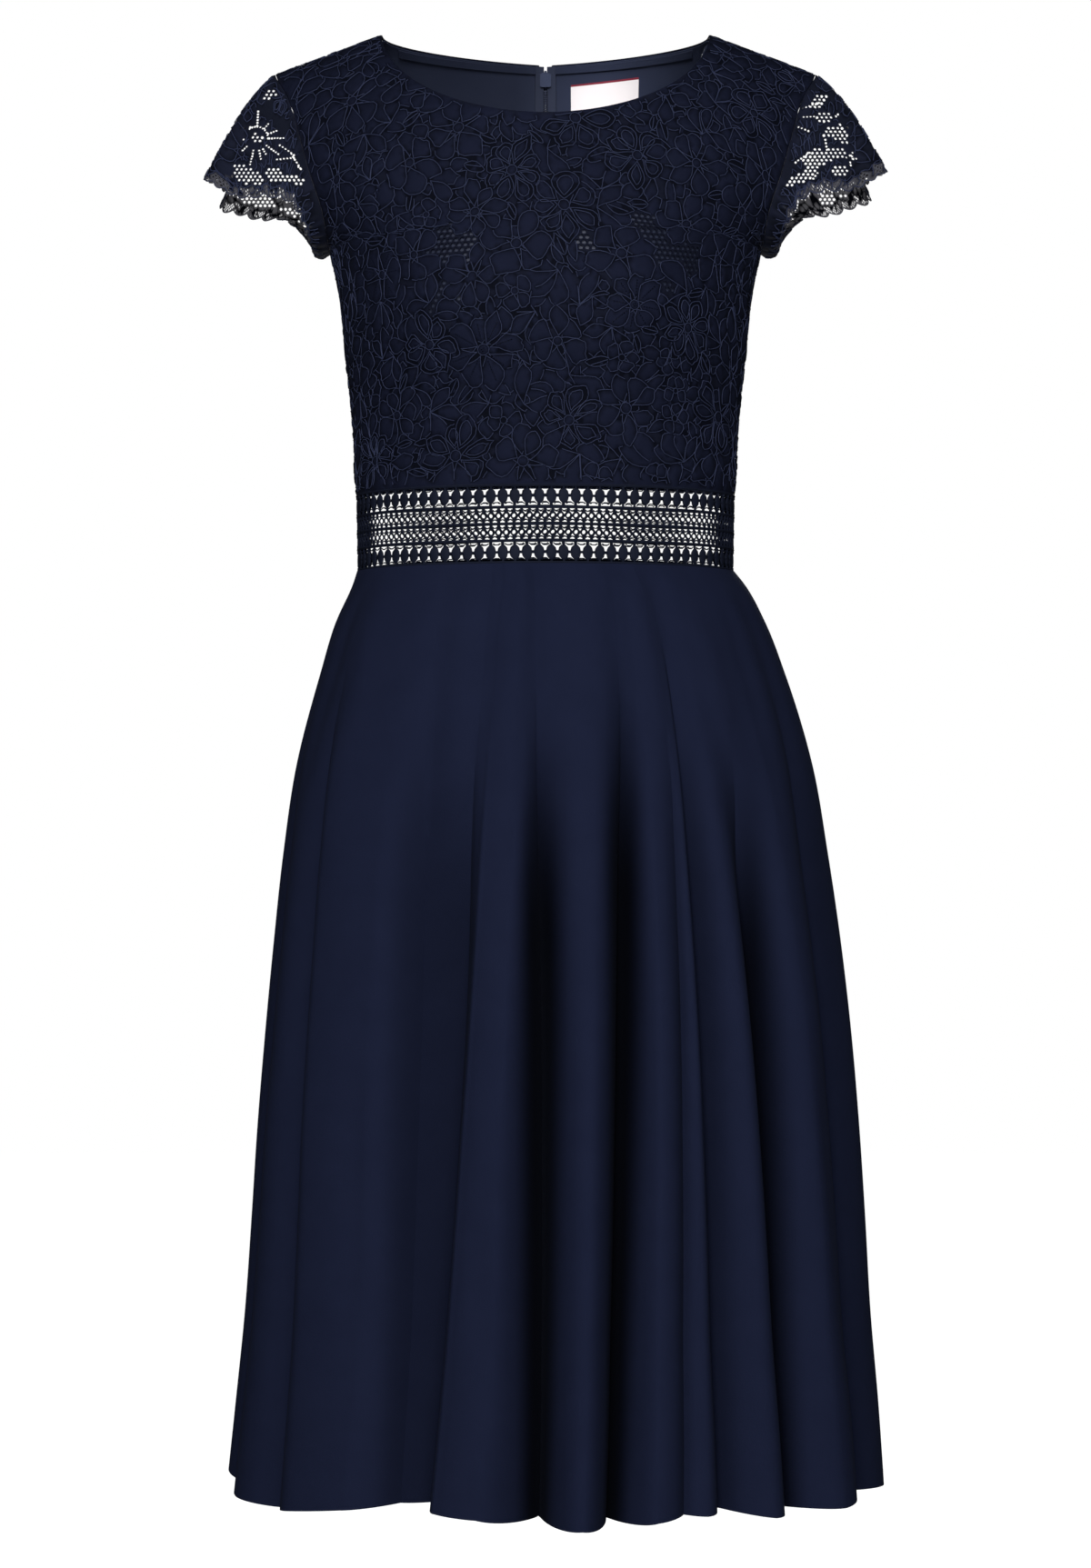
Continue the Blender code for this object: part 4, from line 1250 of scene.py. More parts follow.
class LaceMap:
    """A flat map of the lace, which knows what owns each spot and what lies near it."""

    OUTSIDE, FREE = -2, -1
    EDGE_BAND = 0.0011
    CORD_BAND = 0.0010

    def __init__(self, edge: Array, cell: float = 0.0005, margin: float = 0.004) -> None:
        """Start a bare map.

        Args:
            edge: The panel's closed edge on the flat cloth.
            cell: The size of the map's cells.
            margin: Room kept round the edge.
        """
        self.edge = edge
        self.cell = cell
        self.low = edge.min(axis=0) - margin
        size = np.ceil((edge.max(axis=0) + margin - self.low) / cell).astype(int)
        self.owner = np.full(size[::-1], self.OUTSIDE, np.int16)
        self.near = np.zeros(size[::-1], bool)
        self.fill(edge, self.FREE, self.OUTSIDE)
        self.shapes = 0
        self.lines: list[Array] = []
        self.heights: list[float] = []
        self.dots: list[Array] = []
        self.mark(np.concatenate([edge, edge[:1]]), self.EDGE_BAND)

    def cells(self, places: Array) -> tuple[Array, Array]:
        """Rows and columns of the map for places on the cloth."""
        at = ((places - self.low) / self.cell).astype(int)
        return (
            np.clip(at[..., 1], 0, self.owner.shape[0] - 1),
            np.clip(at[..., 0], 0, self.owner.shape[1] - 1),
        )

    def fill(self, shape: Array, value: int, over: int) -> None:
        """Give the cells inside a closed shape a value, where they have another now."""
        at = (shape - self.low) / self.cell - 0.5
        after = np.roll(at, -1, axis=0)
        first, last = math.ceil(at[:, 1].min()), math.floor(at[:, 1].max())
        for row in range(max(0, first), min(len(self.owner), last + 1)):
            hit = (at[:, 1] <= row) != (after[:, 1] <= row)
            a, b = at[hit], after[hit]
            x = np.sort(a[:, 0] + (row - a[:, 1]) / (b[:, 1] - a[:, 1]) * (b[:, 0] - a[:, 0]))
            line = self.owner[row]
            for start, end in zip(x[::2], x[1::2]):
                part = line[max(0, math.ceil(start)) : math.floor(end) + 1]
                part[part == over] = value

    def mark(self, line: Array, reach: float) -> None:
        """Note that a band along a line is taken."""
        r, c = self.cells(spaced(line, self.cell))
        span = int(reach / self.cell)
        dy, dx = np.meshgrid(np.arange(-span, span + 1), np.arange(-span, span + 1))
        inside = dy**2 + dx**2 <= (reach / self.cell) ** 2
        rows = np.clip(r[:, None] + dy[inside], 0, self.near.shape[0] - 1)
        columns = np.clip(c[:, None] + dx[inside], 0, self.near.shape[1] - 1)
        self.near[rows, columns] = True

    def runs(self, line: Array) -> list[Array]:
        """The parts of a line that lie on free cloth."""
        r, c = self.cells(line)
        free = (self.owner[r, c] == self.FREE) & ~self.edge_band[r, c]
        if free.all():
            return [line]
        if np.linalg.norm(line[0] - line[-1]) < TOUCH:
            start = int(np.argmin(free))
            line, free = np.roll(line[:-1], -start, axis=0), np.roll(free[:-1], -start)
        splits = np.flatnonzero(np.diff(free.astype(int))) + 1
        parts = zip(np.split(line, splits), np.split(free, splits))
        return [part for part, keep in parts if keep[0] and len(part) > 2]

    def hold_edge(self) -> None:
        """Keep what has been marked so far as the band beside the edge."""
        self.edge_band = self.near.copy()

    def room(self, centre: Array, radius: float, share: float) -> bool:
        """Whether enough of a disc lies on free cloth."""
        count = 48
        reach = radius * np.sqrt((np.arange(count) + 0.5) / count)
        r, c = self.cells(centre + polar(reach, np.arange(count) * GOLDEN_ANGLE))
        return bool(np.mean(self.owner[r, c] <= self.FREE) >= share)

    def lay(self, motif: Motif, height: float) -> None:
        """Put a motif on the map, under those already there."""
        outlines = []
        for shape in motif.shapes:
            closed = np.concatenate([shape, shape[:1]])
            outlines += self.runs(closed)
            self.fill(shape, self.shapes, self.FREE)
            self.shapes += 1
            self.heights.append(height)
        first = self.shapes - len(motif.shapes)
        outlines += [line for line in motif.lines if self.inside(line, first).all()]
        for dots in motif.dots:
            self.dots += list(dots[self.inside(dots, first)])
        self.lines += outlines
        for line in outlines:
            self.mark(line, self.CORD_BAND)

    def scatter(
        self,
        rng: np.random.Generator,
        make: Callable[[], Motif],
        tries: int,
        share: float,
        allowed: Callable[[Array], bool] = lambda place: True,
    ) -> int:
        """Lay motifs at free places.

        Args:
            rng: Where the places come from.
            make: Draws the next motif.
            tries: How many places to try.
            share: How much of a motif's disc has to be free.
            allowed: Tells whether a place may have a motif.

        Returns:
            How many were laid.
        """
        high = self.low + np.array(self.owner.shape[::-1]) * self.cell
        laid = 0
        motif = make()
        for centre in rng.uniform(self.low, high, (tries, 2)):
            r, c = self.cells(centre)
            if not allowed(centre):
                continue
            if self.owner[r, c] == self.FREE and self.room(centre, motif.radius, share):
                self.lay(motif.laid(centre, rng.uniform(0, 2 * math.pi)), rng.uniform(0.0001, 0.0004))
                motif = make()
                laid += 1
        return laid

    def inside(self, places: Array, least: int = FREE) -> Array:
        """Whether places lie on the cloth away from its edge, and what owns them has a least number."""
        r, c = self.cells(places)
        return (self.owner[r, c] >= least) & ~self.edge_band[r, c]

    def vacant(self, places: Array, free: bool = False) -> Array:
        """Whether places lie on the cloth away from cords and edges, and perhaps on free cloth only."""
        r, c = self.cells(places)
        owner = self.owner[r, c]
        return (owner == self.FREE if free else owner > self.OUTSIDE) & ~self.near[r, c]


def lattice(low: Array, high: Array, pitch: tuple[float, float]) -> Array:
    """Points of a lattice whose rows are offset by half a step, over a box."""
    columns = np.arange(low[0], high[0], pitch[0])
    rows = np.arange(low[1], high[1], pitch[1])
    x, y = np.meshgrid(columns, rows)
    x = x + (np.arange(len(rows)) % 2)[:, None] * pitch[0] / 2
    return np.stack([x.ravel(), y.ravel()], axis=1)


@dataclass
class LaceCutter:
    """Cuts a lace sheet from a panel's flat map and finds where its cords run."""

    panel: Panel
    lace: LaceMap
    thickness: float = 0.0006
    grid: float = 0.0036
    cord_high: float = 0.0002
    groove: float = 0.0002
    puff: float = 0.0005
    inside_painted_light: float = 0.0
    holes: list[Array] = field(default_factory=list)

    def punch(self, centres: Array, radius: float, sides: int, land: float = 0.0005) -> int:
        """Add round holes where the cloth is free.

        Args:
            centres: The holes' centres.
            radius: Their radius.
            sides: How many sides each has.
            land: Cloth kept round each.

        Returns:
            How many holes were added.
        """
        shape = ring(radius, sides)
        for centre in centres:
            self.holes.append(shape + centre)
            self.lace.mark(np.array([centre, centre + 1e-7]), radius + land)
        return len(centres)

    def cut(self) -> None:
        """Triangulate the flat sheet."""
        flat = [self.panel.edge]
        count = len(self.panel.edge)
        ids = np.arange(count)
        edges = [np.stack([ids, np.roll(ids, -1)], axis=1)]
        faces = [ids.tolist()]
        self.line_ids: list[Array] = []
        for line in self.lace.lines:
            closed = np.linalg.norm(line[0] - line[-1]) < TOUCH
            line = line[:-1] if closed else line
            ids = np.arange(len(line)) + count
            path = np.append(ids, ids[0]) if closed else ids
            self.line_ids.append(path)
            edges.append(np.stack([path[:-1], path[1:]], axis=1))
            flat.append(line)
            count += len(line)
        for hole in self.holes:
            faces.append(list(range(count, count + len(hole))))
            flat.append(hole)
            count += len(hole)
        edge = self.panel.edge
        spots = lattice(edge.min(axis=0), edge.max(axis=0), (self.grid, self.grid * 0.87))
        flat.append(spots[self.lace.vacant(spots)])
        given = np.concatenate(flat)
        links = np.concatenate(edges)
        made = delaunay_2d_cdt(given.tolist(), links.tolist(), faces, 0, 1e-7, True)
        self.flat = np.array(made[0], float).reshape(-1, 2)
        origin = np.full(len(given), -1)
        for here, sources in enumerate(made[3]):
            for source in sources:
                origin[source] = here
        self.line_ids = [origin[line] for line in self.line_ids]
        cloth = np.array([list(sources) == [0] for sources in made[5]])
        triangles = np.array(made[2], int)[cloth]
        a, b, c = (self.flat[triangles[:, i]] for i in range(3))
        twice = (b - a)[:, 0] * (c - a)[:, 1] - (b - a)[:, 1] * (c - a)[:, 0]
        triangles = triangles[np.abs(twice) > 1e-12]
        turns = np.sign(twice[np.abs(twice) > 1e-12])
        wrong = turns * self.panel.outward < 0
        triangles[wrong] = triangles[wrong][:, ::-1]
        self.triangles = triangles

    def build(
        self,
        name: str,
        finish: Material,
        cord_finish: Material,
        maker: Haberdasher,
        cord_radius: float,
        rims: Sequence[Array] = (),
    ) -> tuple[Object, Object]:
        """Cut the sheet, lay it on the form and sew its cords on.

        Args:
            name: The sheet's name.
            finish: The sheet's material.
            cord_finish: The cords' material.
            maker: Makes the cords.
            cord_radius: Their radius.
            rims: More lines, in space, that get a cord.

        Returns:
            The sheet and its cords.
        """
        self.cut()
        base = self.panel.place(self.flat)
        triangles = self.triangles
        if isinstance(self.panel, SleeveForm):
            join = np.arange(len(base))
            join[self.panel.seam_far] = self.panel.seam_near
            triangles = join[triangles]
        normals = self.panel.settle(base, mesh_normals(base, triangles))
        r, c = self.lace.cells(self.flat)
        owner = self.lace.owner[r, c]
        rises = np.array([*self.lace.heights, 0.0])
        main = (owner >= 0).astype(float)
        on_line = np.zeros(len(base), bool)
        for line in self.line_ids:
            on_line[line] = True
        rise = np.where(owner >= 0, rises[owner] + self.puff, 0.0)
        rise = np.where(on_line, -self.groove, rise)
        rise[: len(self.panel.edge)] = 0.0
        rise = rise + self.panel.ripple(self.flat)
        outer = base + normals * rise[:, None]
        inner = base - normals * self.thickness
        shell = closed_shell(triangles, len(base))
        pale = self.panel.pale(self.flat)
        sheet = add_mesh(
            name,
            np.concatenate([outer, inner]),
            shell,
            finish,
            {
                "main": np.tile(main, 2),
                # Painted shadow: the colour darkens along the cords' lines.
                "cord_shadow": np.tile(on_line.astype(float), 2),
                # Painted light: the inner side is painted pale, standing in for light through the lace.
                "pale": np.concatenate([pale, np.maximum(pale, self.inside_painted_light)]),
            },
            np.tile(self.flat, (2, 1)),
        )
        lift = normals * (self.cord_high + self.groove)
        lines = [outer[line] + lift[line] for line in self.line_ids if (line >= 0).all()]
        lines += rims
        cords = maker.cords(name + "_cords", lines, cord_radius, 4, cord_finish)
        LOG.info("%s: %d triangles, cords %d", name, len(shell), len(cords.data.polygons))
        return sheet, cords


# ---------------------------------------------------------------- finishes


def grain_group() -> bpy.types.NodeTree:
    """Build the group that gives a cloth's thread crossings and fine unevenness."""
    group = NodeTree(bpy.data.node_groups.new("cloth_grain", "ShaderNodeTree"))
    face = group.tree.interface
    for label, kind in (("Place", "Vector"), ("Pitch", "Float"), ("Unevenness", "Float")):
        face.new_socket(label, in_out="INPUT", socket_type="NodeSocket" + kind)
    for label in ("Height", "Shade"):
        face.new_socket(label, in_out="OUTPUT", socket_type="NodeSocketFloat")
    source = group.tree.nodes.new("NodeGroupInput").outputs
    out = group.tree.nodes.new("NodeGroupOutput")
    parts = group.tree.nodes.new("ShaderNodeSeparateXYZ")
    group.tree.links.new(source["Place"], parts.inputs[0])
    rate = group.maths("DIVIDE", 2 * math.pi, source["Pitch"])
    waves = [group.maths("SINE", group.maths("MULTIPLY", parts.outputs[k], rate)) for k in range(2)]
    cross = group.maths("MULTIPLY", *waves)
    scale = group.maths("DIVIDE", 0.8, source["Pitch"])
    noise = group.add("ShaderNodeTexNoise", Vector=source["Place"], Scale=scale, Detail=2.0)
    rough = group.maths("MULTIPLY", noise.outputs[0], source["Unevenness"])
    height = group.maths("ADD", group.maths("MULTIPLY", cross, 0.5), rough)
    group.tree.links.new(height, out.inputs["Height"])
    broad = group.add("ShaderNodeTexNoise", Vector=source["Place"], Scale=38.0, Detail=3.0)
    group.tree.links.new(broad.outputs[0], out.inputs["Shade"])
    return group.tree


def start_material(name: str, **inputs) -> tuple[Material, NodeTree, bpy.types.Node]:
    """Start a material.

    Args:
        name: Its name.
        **inputs: Values for its shader's inputs, by name with _ for a space.

    Returns:
        The material, a helper for its nodes, and its shader.
    """
    material = bpy.data.materials.new(name)
    material.use_nodes = True
    shader = material.node_tree.nodes["Principled BSDF"]
    for key, value in inputs.items():
        shader.inputs[key.replace("_", " ")].default_value = value
    return material, NodeTree(material.node_tree), shader


@dataclass(frozen=True)
class ClothFinish:
    """A woven cloth: its colour range, sheen and grain."""

    name: str
    colour: Triple
    dark: Triple
    roughness: float = 0.75
    sheen: float = 0.0
    sheen_tint: Triple = (0.5, 0.6, 1.0)
    sheen_roughness: float = 0.45
    pitch: float = 0.0007
    unevenness: float = 0.8
    bump: float = 0.00008
    specular: float = 0.25
    ground: Triple | None = None
    shade_by: str = ""
    shade_power: float = 1.5
    shade_keep: float = 0.4
    flat_grain: bool = True
    pale: Triple | None = None
    grazing_shade_keep: float = 1.0
    grazing_shade_power: float = 1.4

    def build(self, grain: bpy.types.NodeTree) -> Material:
        """Make the material.

        Args:
            grain: The cloth grain group.

        Returns:
            The material.
        """
        material, nodes, shader = start_material(
            self.name,
            Roughness=self.roughness,
            Sheen_Weight=self.sheen,
            Sheen_Roughness=self.sheen_roughness,
            Sheen_Tint=(*self.sheen_tint, 1.0),
            Specular_IOR_Level=self.specular,
        )
        place = nodes.add("ShaderNodeTexCoord").outputs["UV" if self.flat_grain else "Object"]
        group = {"node_tree": grain}
        cloth = nodes.add("ShaderNodeGroup", group, Place=place, Pitch=self.pitch, Unevenness=self.unevenness)
        colour = nodes.mix(cloth.outputs["Shade"], self.dark, self.colour)
        if self.ground is not None:
            colour = nodes.mix(nodes.named("main"), self.ground, colour)
        # Painted light: a pale colour where light would show through the lace.
        if self.pale is not None:
            colour = nodes.mix(nodes.named("pale"), colour, self.pale)
        # Painted shade: darken the colour where the named number is high (shade in fold valleys, shadow
        # beside cords).
        if self.shade_by:
            painted_shade = nodes.maths("POWER", nodes.named(self.shade_by), self.shade_power)
            colour = nodes.mix(painted_shade, colour, [self.shade_keep * part for part in self.dark])
        # Painted shade: darken the colour where the surface turns away from the view, as if less lit at the
        # sides.
        if self.grazing_shade_keep < 1.0:
            facing = nodes.add("ShaderNodeLayerWeight", Blend=0.5).outputs["Facing"]
            away = nodes.maths("POWER", facing, self.grazing_shade_power)
            colour = nodes.mix(away, colour, [self.grazing_shade_keep * part for part in self.dark])
        nodes.give(shader.inputs["Base Color"], colour)
        bump = nodes.add("ShaderNodeBump", Distance=self.bump, Strength=1.0, Height=cloth.outputs["Height"])
        nodes.give(shader.inputs["Normal"], bump.outputs[0])
        return material


@dataclass(frozen=True)
class MetalFinish:
    """Painted metal with worn edges."""

    name: str
    colour: Triple
    worn: Triple
    roughness: float = 0.35
    metallic: float = 0.5

    def build(self) -> Material:
        """Make the material."""
        material, nodes, shader = start_material(self.name, Metallic=self.metallic)
        place = nodes.add("ShaderNodeTexCoord").outputs["Object"]
        spots = nodes.add("ShaderNodeTexNoise", Vector=place, Scale=900.0, Detail=3.0).outputs[0]
        nodes.give(shader.inputs["Base Color"], nodes.mix(spots, self.colour, self.worn))
        rough = nodes.maths("ADD", nodes.maths("MULTIPLY", spots, 0.25), self.roughness - 0.12)
        nodes.give(shader.inputs["Roughness"], rough)
        return material


@dataclass
class Finishes:
    """Every material of the dress."""

    def __post_init__(self) -> None:
        """Make them."""
        grain = grain_group()
        # Lace: painted shadow along the cords, and painted shade where it turns away from the view.
        self.lace = ClothFinish(
            "corded lace", (0.0104, 0.0132, 0.032), (0.0062, 0.008, 0.0192), roughness=0.8, sheen=0.01,
            specular=0.05, pitch=0.0011, bump=0.00012, ground=(0.0072, 0.0088, 0.019), shade_by="cord_shadow",
            grazing_shade_keep=0.35,
        ).build(grain)
        self.cord = ClothFinish(
            "lace cord", (0.038, 0.047, 0.1), (0.024, 0.031, 0.068), roughness=0.6, sheen=0.02,
            specular=0.12, pitch=0.0012, flat_grain=False,
        ).build(grain)
        # Sleeve net: painted shadow along the cords; its pale colour is painted light, showing through the
        # fine border and on the inner side.
        self.net = ClothFinish(
            "sleeve net", (0.0132, 0.016, 0.0336), (0.0084, 0.0104, 0.0212), roughness=0.8, sheen=0.01,
            specular=0.06, ground=(0.0084, 0.0104, 0.02), shade_by="cord_shadow", pale=(0.30, 0.295, 0.325),
        ).build(grain)
        self.lining = ClothFinish(
            "satin lining", (0.03, 0.037, 0.068), (0.022, 0.0276, 0.053), roughness=0.42, specular=0.3,
            pitch=0.0004, bump=0.00003,
        ).build(grain)
        # Crepe: its colour is darkened by painted shade in the folds' valleys.
        self.crepe = ClothFinish(
            "crepe", (0.0122, 0.0162, 0.0402), (0.0098, 0.0132, 0.0332), roughness=0.9, sheen=0.01,
            specular=0.03, pitch=0.0009, unevenness=1.6, bump=0.00006, shade_by="painted_shade", shade_power=1.1,
            shade_keep=0.08,
        ).build(grain)
        self.band = ClothFinish(
            "satin stitch", (0.011, 0.0145, 0.030), (0.006, 0.0078, 0.016), roughness=0.65, specular=0.08,
            pitch=0.0006, flat_grain=False,
        ).build(grain)
        self.tape = ClothFinish(
            "zip tape", (0.032, 0.039, 0.070), (0.024, 0.030, 0.056), pitch=0.0008, bump=0.0001,
        ).build(grain)
        self.label = ClothFinish(
            "label satin", (0.88, 0.83, 0.84), (0.80, 0.75, 0.76), roughness=0.45, pitch=0.0005,
            bump=0.00002, ground=(0.20, 0.024, 0.04),
        ).build(grain)
        self.metal = MetalFinish("zip enamel", (0.08, 0.1, 0.19), (0.13, 0.156, 0.26)).build()


# ---------------------------------------------------------------- the dress


@dataclass
class Dresser:
    """Gives finished pieces their body and hides the nodes they replace, and counts them."""

    count: int = 0

    def put(self, piece: Object, slot: Slot, *nodes: str) -> None:
        """Ride a piece on the root body and hide the CAD nodes that it stands for."""
        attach(piece, "root")
        if nodes:
            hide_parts(*nodes)
        self.count += 1
        LOG.info("%s: %d faces", piece.name, len(piece.data.polygons))


def cloth_area(piece: Object) -> float:
    """Area of one side of a closed sheet."""
    areas = np.empty(len(piece.data.polygons), np.float32)
    piece.data.polygons.foreach_get("area", areas)
    return float(areas.sum()) / 2


def lace_area(sheet: Object, size: Array, most: float) -> float:
    """A lace sheet's area, kept to a sound share of its flat rectangle."""
    share = cloth_area(sheet) / (size[0] * size[1])
    least = 0.31
    return min(most, max(least, share)) * size[0] * size[1]


@dataclass
class Bodice:
    """The lace bodice, its lining and the neck facing."""

    form: TorsoForm
    finishes: Finishes
    maker: Haberdasher
    dresser: Dresser
    cord_radius: float = 0.00030
    net_pitch: tuple[float, float] = (0.0042, 0.0037)
    net_hole: float = 0.0017
    dot_hole: float = 0.00065
    seed: int = 11
    zip_clear: float = 0.0085
    level_near: float = 0.003
    facing_deep: float = 0.0038
    windows: tuple[tuple[float, float, float], ...] = (
        (-0.064, -0.158, 0.020),
        (-0.070, -0.182, 0.014),
        (0.072, -0.140, 0.019),
        (0.090, -0.160, 0.020),
        (0.030, -0.150, 0.010),
    )

    def net_windows(self, panel: BodicePanel) -> Array:
        """Flat centres and reach of the spots where a panel's bare net shows."""
        rows = [row for row in self.windows if panel.side == 0 or row[0] * panel.side > 0]
        x, z, reach = np.array(rows).T
        centres = panel.torso.flat(self.form.u_at(x, z, panel.torso.face), z)
        return np.column_stack([centres, reach])

    def pattern(self, panel: BodicePanel, seed: int) -> LaceMap:
        """Fill a panel with flowers, blossoms, leaves and broad petals, all cut by those before them."""
        rng = np.random.default_rng(seed)
        draw = MotifMaker(rng)
        lace = LaceMap(panel.edge)
        lace.hold_edge()
        bare = self.net_windows(panel)

        def away(place: Array, share: float = 1.0) -> bool:
            """Whether a place lies outside the bare spots."""
            return bool(np.all(np.linalg.norm(bare[:, :2] - place, axis=1) > share * bare[:, 2]))

        def flower() -> Motif:
            """A flower of six to eight petals."""
            return draw.flower(rng.uniform(0.021, 0.027), int(rng.integers(6, 9)))

        lace.scatter(rng, flower, 420, 0.90, lambda place: away(place, 1.1))
        for make, least, most, tries, share in (
            (draw.blossom, 0.009, 0.012, 130, 0.95),
            (draw.spray, 0.020, 0.030, 1500, 0.78),
            (draw.blossom, 0.009, 0.012, 700, 0.88),
            (draw.leaf, 0.012, 0.020, 2500, 0.76),
            (draw.scrap, 0.013, 0.021, 4000, 0.50),
            (draw.scrap, 0.008, 0.012, 5000, 0.42),
        ):
            lace.scatter(rng, lambda: make(rng.uniform(least, most)), tries, share, away)
        return lace

    def build_lace(self) -> None:
        """Cut the three lace panels."""
        torso = {face: FlatTorso(self.form, face) for face in Face}
        panels = (
            ("bodice_front", BodicePanel(torso[Face.FRONT])),
            ("bodice_back_left", BodicePanel(torso[Face.BACK], 1)),
            ("bodice_back_right", BodicePanel(torso[Face.BACK], -1)),
        )
        for number, (node, panel) in enumerate(panels):
            lace = self.pattern(panel, self.seed + number)
            cutter = LaceCutter(panel, lace)
            if lace.dots:
                cutter.punch(np.array(lace.dots), self.dot_hole, 4, 0.0003)
            spots = lattice(panel.edge.min(axis=0), panel.edge.max(axis=0), self.net_pitch)
            bare = self.net_windows(panel)
            near = np.linalg.norm(spots[:, None] - bare[None, :, :2], axis=2) < 1.25 * bare[None, :, 2]
            spots = spots[lace.vacant(spots, free=True) & near.any(axis=1)]
            holes = cutter.punch(spots, self.net_hole, 6)
            sheet, cords = cutter.build(
                node + "_lace", self.finishes.lace, self.finishes.cord, self.maker, self.cord_radius
            )
            LOG.info("%s: %d holes", node, holes)
            self.dresser.put(sheet, Slot.LACE, node)
            self.dresser.put(cords, Slot.LACE)
            size = np.ptp(panel.edge, axis=0)
            area = lace_area(sheet, size, 1.0)
        self.torso = torso

    def lining_grid(self, u: Array, z: Array, face: Face, depth: float) -> tuple[Array, Array, Array]:
        """Points, normals and flat places of a layer inside the bodice."""
        points = self.form.hold_side(self.form.point(u, z, face), face)
        triangles = grid_triangles(*points.shape[:2])
        normals = mesh_normals(points.reshape(-1, 3), triangles).reshape(points.shape)
        if np.mean(normals[..., 1]) * face.value < 0:
            normals = -normals
        normals = self.form.level(points, normals, self.level_near)
        return points - normals * depth, normals, self.torso[face].flat(u, z)

    def build_lining(self) -> None:
        """Build the lining's front and its two backs."""
        depth = LACE + LINING_GAP
        share = 1 - (1 - np.linspace(0.0, 1.0, 46)) ** 1.6
        for node, face, side in (
            ("lining_front", Face.FRONT, 0),
            ("lining_back_left", Face.BACK, 1),
            ("lining_back_right", Face.BACK, -1),
        ):
            if side == 0:
                u = np.linspace(-1.0, 1.0, 97) + 0 * share[:, None]
            else:
                z = self.form.waist_z + (self.form.back_neck_z - self.form.waist_z) * share
                start = self.form.u_at(np.full(len(z), self.zip_clear), z, face)
                u = side * (start[:, None] + (1 - start[:, None]) * np.linspace(0.0, 1.0, 49))
            top = self.form.top_z(u, face)
            low = self.form.waist_low(u, face)
            z = low + (top - low) * share[:, None]
            outer, normals, flat = self.lining_grid(u, z, face, depth)
            piece = add_sheet(node + "_satin", outer, normals, LINING, self.finishes.lining, flat)
            self.dresser.put(piece, Slot.LINING, node)
            size = np.ptp(flat.reshape(-1, 2), axis=0)
            area = min(cloth_area(piece), 0.99 * size[0] * size[1])

    def strip(self, x: Array, z: Array, depth: float) -> tuple[Array, Array, Array]:
        """A strip inside the back, by distances from the centre line and heights."""
        x, z = np.broadcast_arrays(x, z)
        return self.lining_grid(self.form.u_at(x, z, Face.BACK), z, Face.BACK, depth)

    def build_facing(self) -> None:
        """Build the narrow strip inside the back neck edge, on both sides of the zip."""
        depth = LACE + 2 * LINING_GAP + LINING
        x = np.linspace(self.zip_clear, 0.106, 50)
        for node, side in (("neck_facing_left", 1), ("neck_facing_right", -1)):
            u = self.form.u_at(x, np.full(50, self.form.back_neck_z), Face.BACK)
            top = self.form.top_z(u, Face.BACK)
            z = top[None, :] - np.linspace(self.facing_deep, 0.0, 4)[:, None]
            outer, normals, flat = self.strip(side * x[None, :], z, depth)
            piece = add_sheet(node + "_tape", outer, normals, LINING, self.finishes.lining, flat)
            self.dresser.put(piece, Slot.LINING, node)

    def build(self) -> None:
        """Build all of it."""
        self.build_lace()
        self.build_lining()
        self.build_facing()


@dataclass(frozen=True)
class SleevePattern:
    """A sleeve's open figures, in metres across and up as they show from the front."""

    seed: int
    suns: tuple[tuple[float, float, float, int], ...]
    rows: tuple[tuple[float, float, float, float], ...]
    nets: tuple[tuple[float, float, float, float, float], ...]
    back_nets: tuple[tuple[float, float, float, float, float], ...]
    dot_pitch: float = 0.0020
    net_pitch: tuple[float, float] = (0.0032, 0.0025)

    def dots(self) -> Array:
        """Centres of the dots: rays round each sun, an arc over its middle, and short rows."""
        spots = []
        for x, z, radius, rays in self.suns:
            for k in range(rays):
                angle = 2 * math.pi * (k + 0.3 * math.sin(5.1 * k)) / rays
                reach = np.arange(0.46, 1.0 - 0.14 * (k % 3), self.dot_pitch / radius) * radius
                spots.append(np.stack([x + reach * math.cos(angle), z + reach * math.sin(angle)], axis=1))
            arc = ring(radius * 0.42, max(8, round(radius * 0.84 * math.pi / self.dot_pitch)))
            spots.append(arc[: len(arc) * 5 // 12] + [x, z])
        for x, z, long, angle in self.rows:
            reach = np.arange(0.0, long, self.dot_pitch * 1.2)
            spots.append(np.stack([x + reach * math.cos(angle), z + reach * math.sin(angle)], axis=1))
        return np.concatenate(spots)

    def holes(self, nets: tuple[tuple[float, float, float, float, float], ...]) -> Array:
        """Centres of the net holes inside tilted ovals, all on one lattice."""
        ovals = np.array(nets)
        reach = ovals[:, 2:4].max()
        spots = lattice(ovals[:, :2].min(axis=0) - reach, ovals[:, :2].max(axis=0) + reach, self.net_pitch)
        away = spots[:, None] - ovals[None, :, :2]
        cos, sin = np.cos(ovals[:, 4]), np.sin(ovals[:, 4])
        along = away[..., 0] * cos + away[..., 1] * sin
        across = away[..., 1] * cos - away[..., 0] * sin
        inside = (along / ovals[:, 2]) ** 2 + (across / ovals[:, 3]) ** 2 < 1.0
        return spots[inside.any(axis=1)]


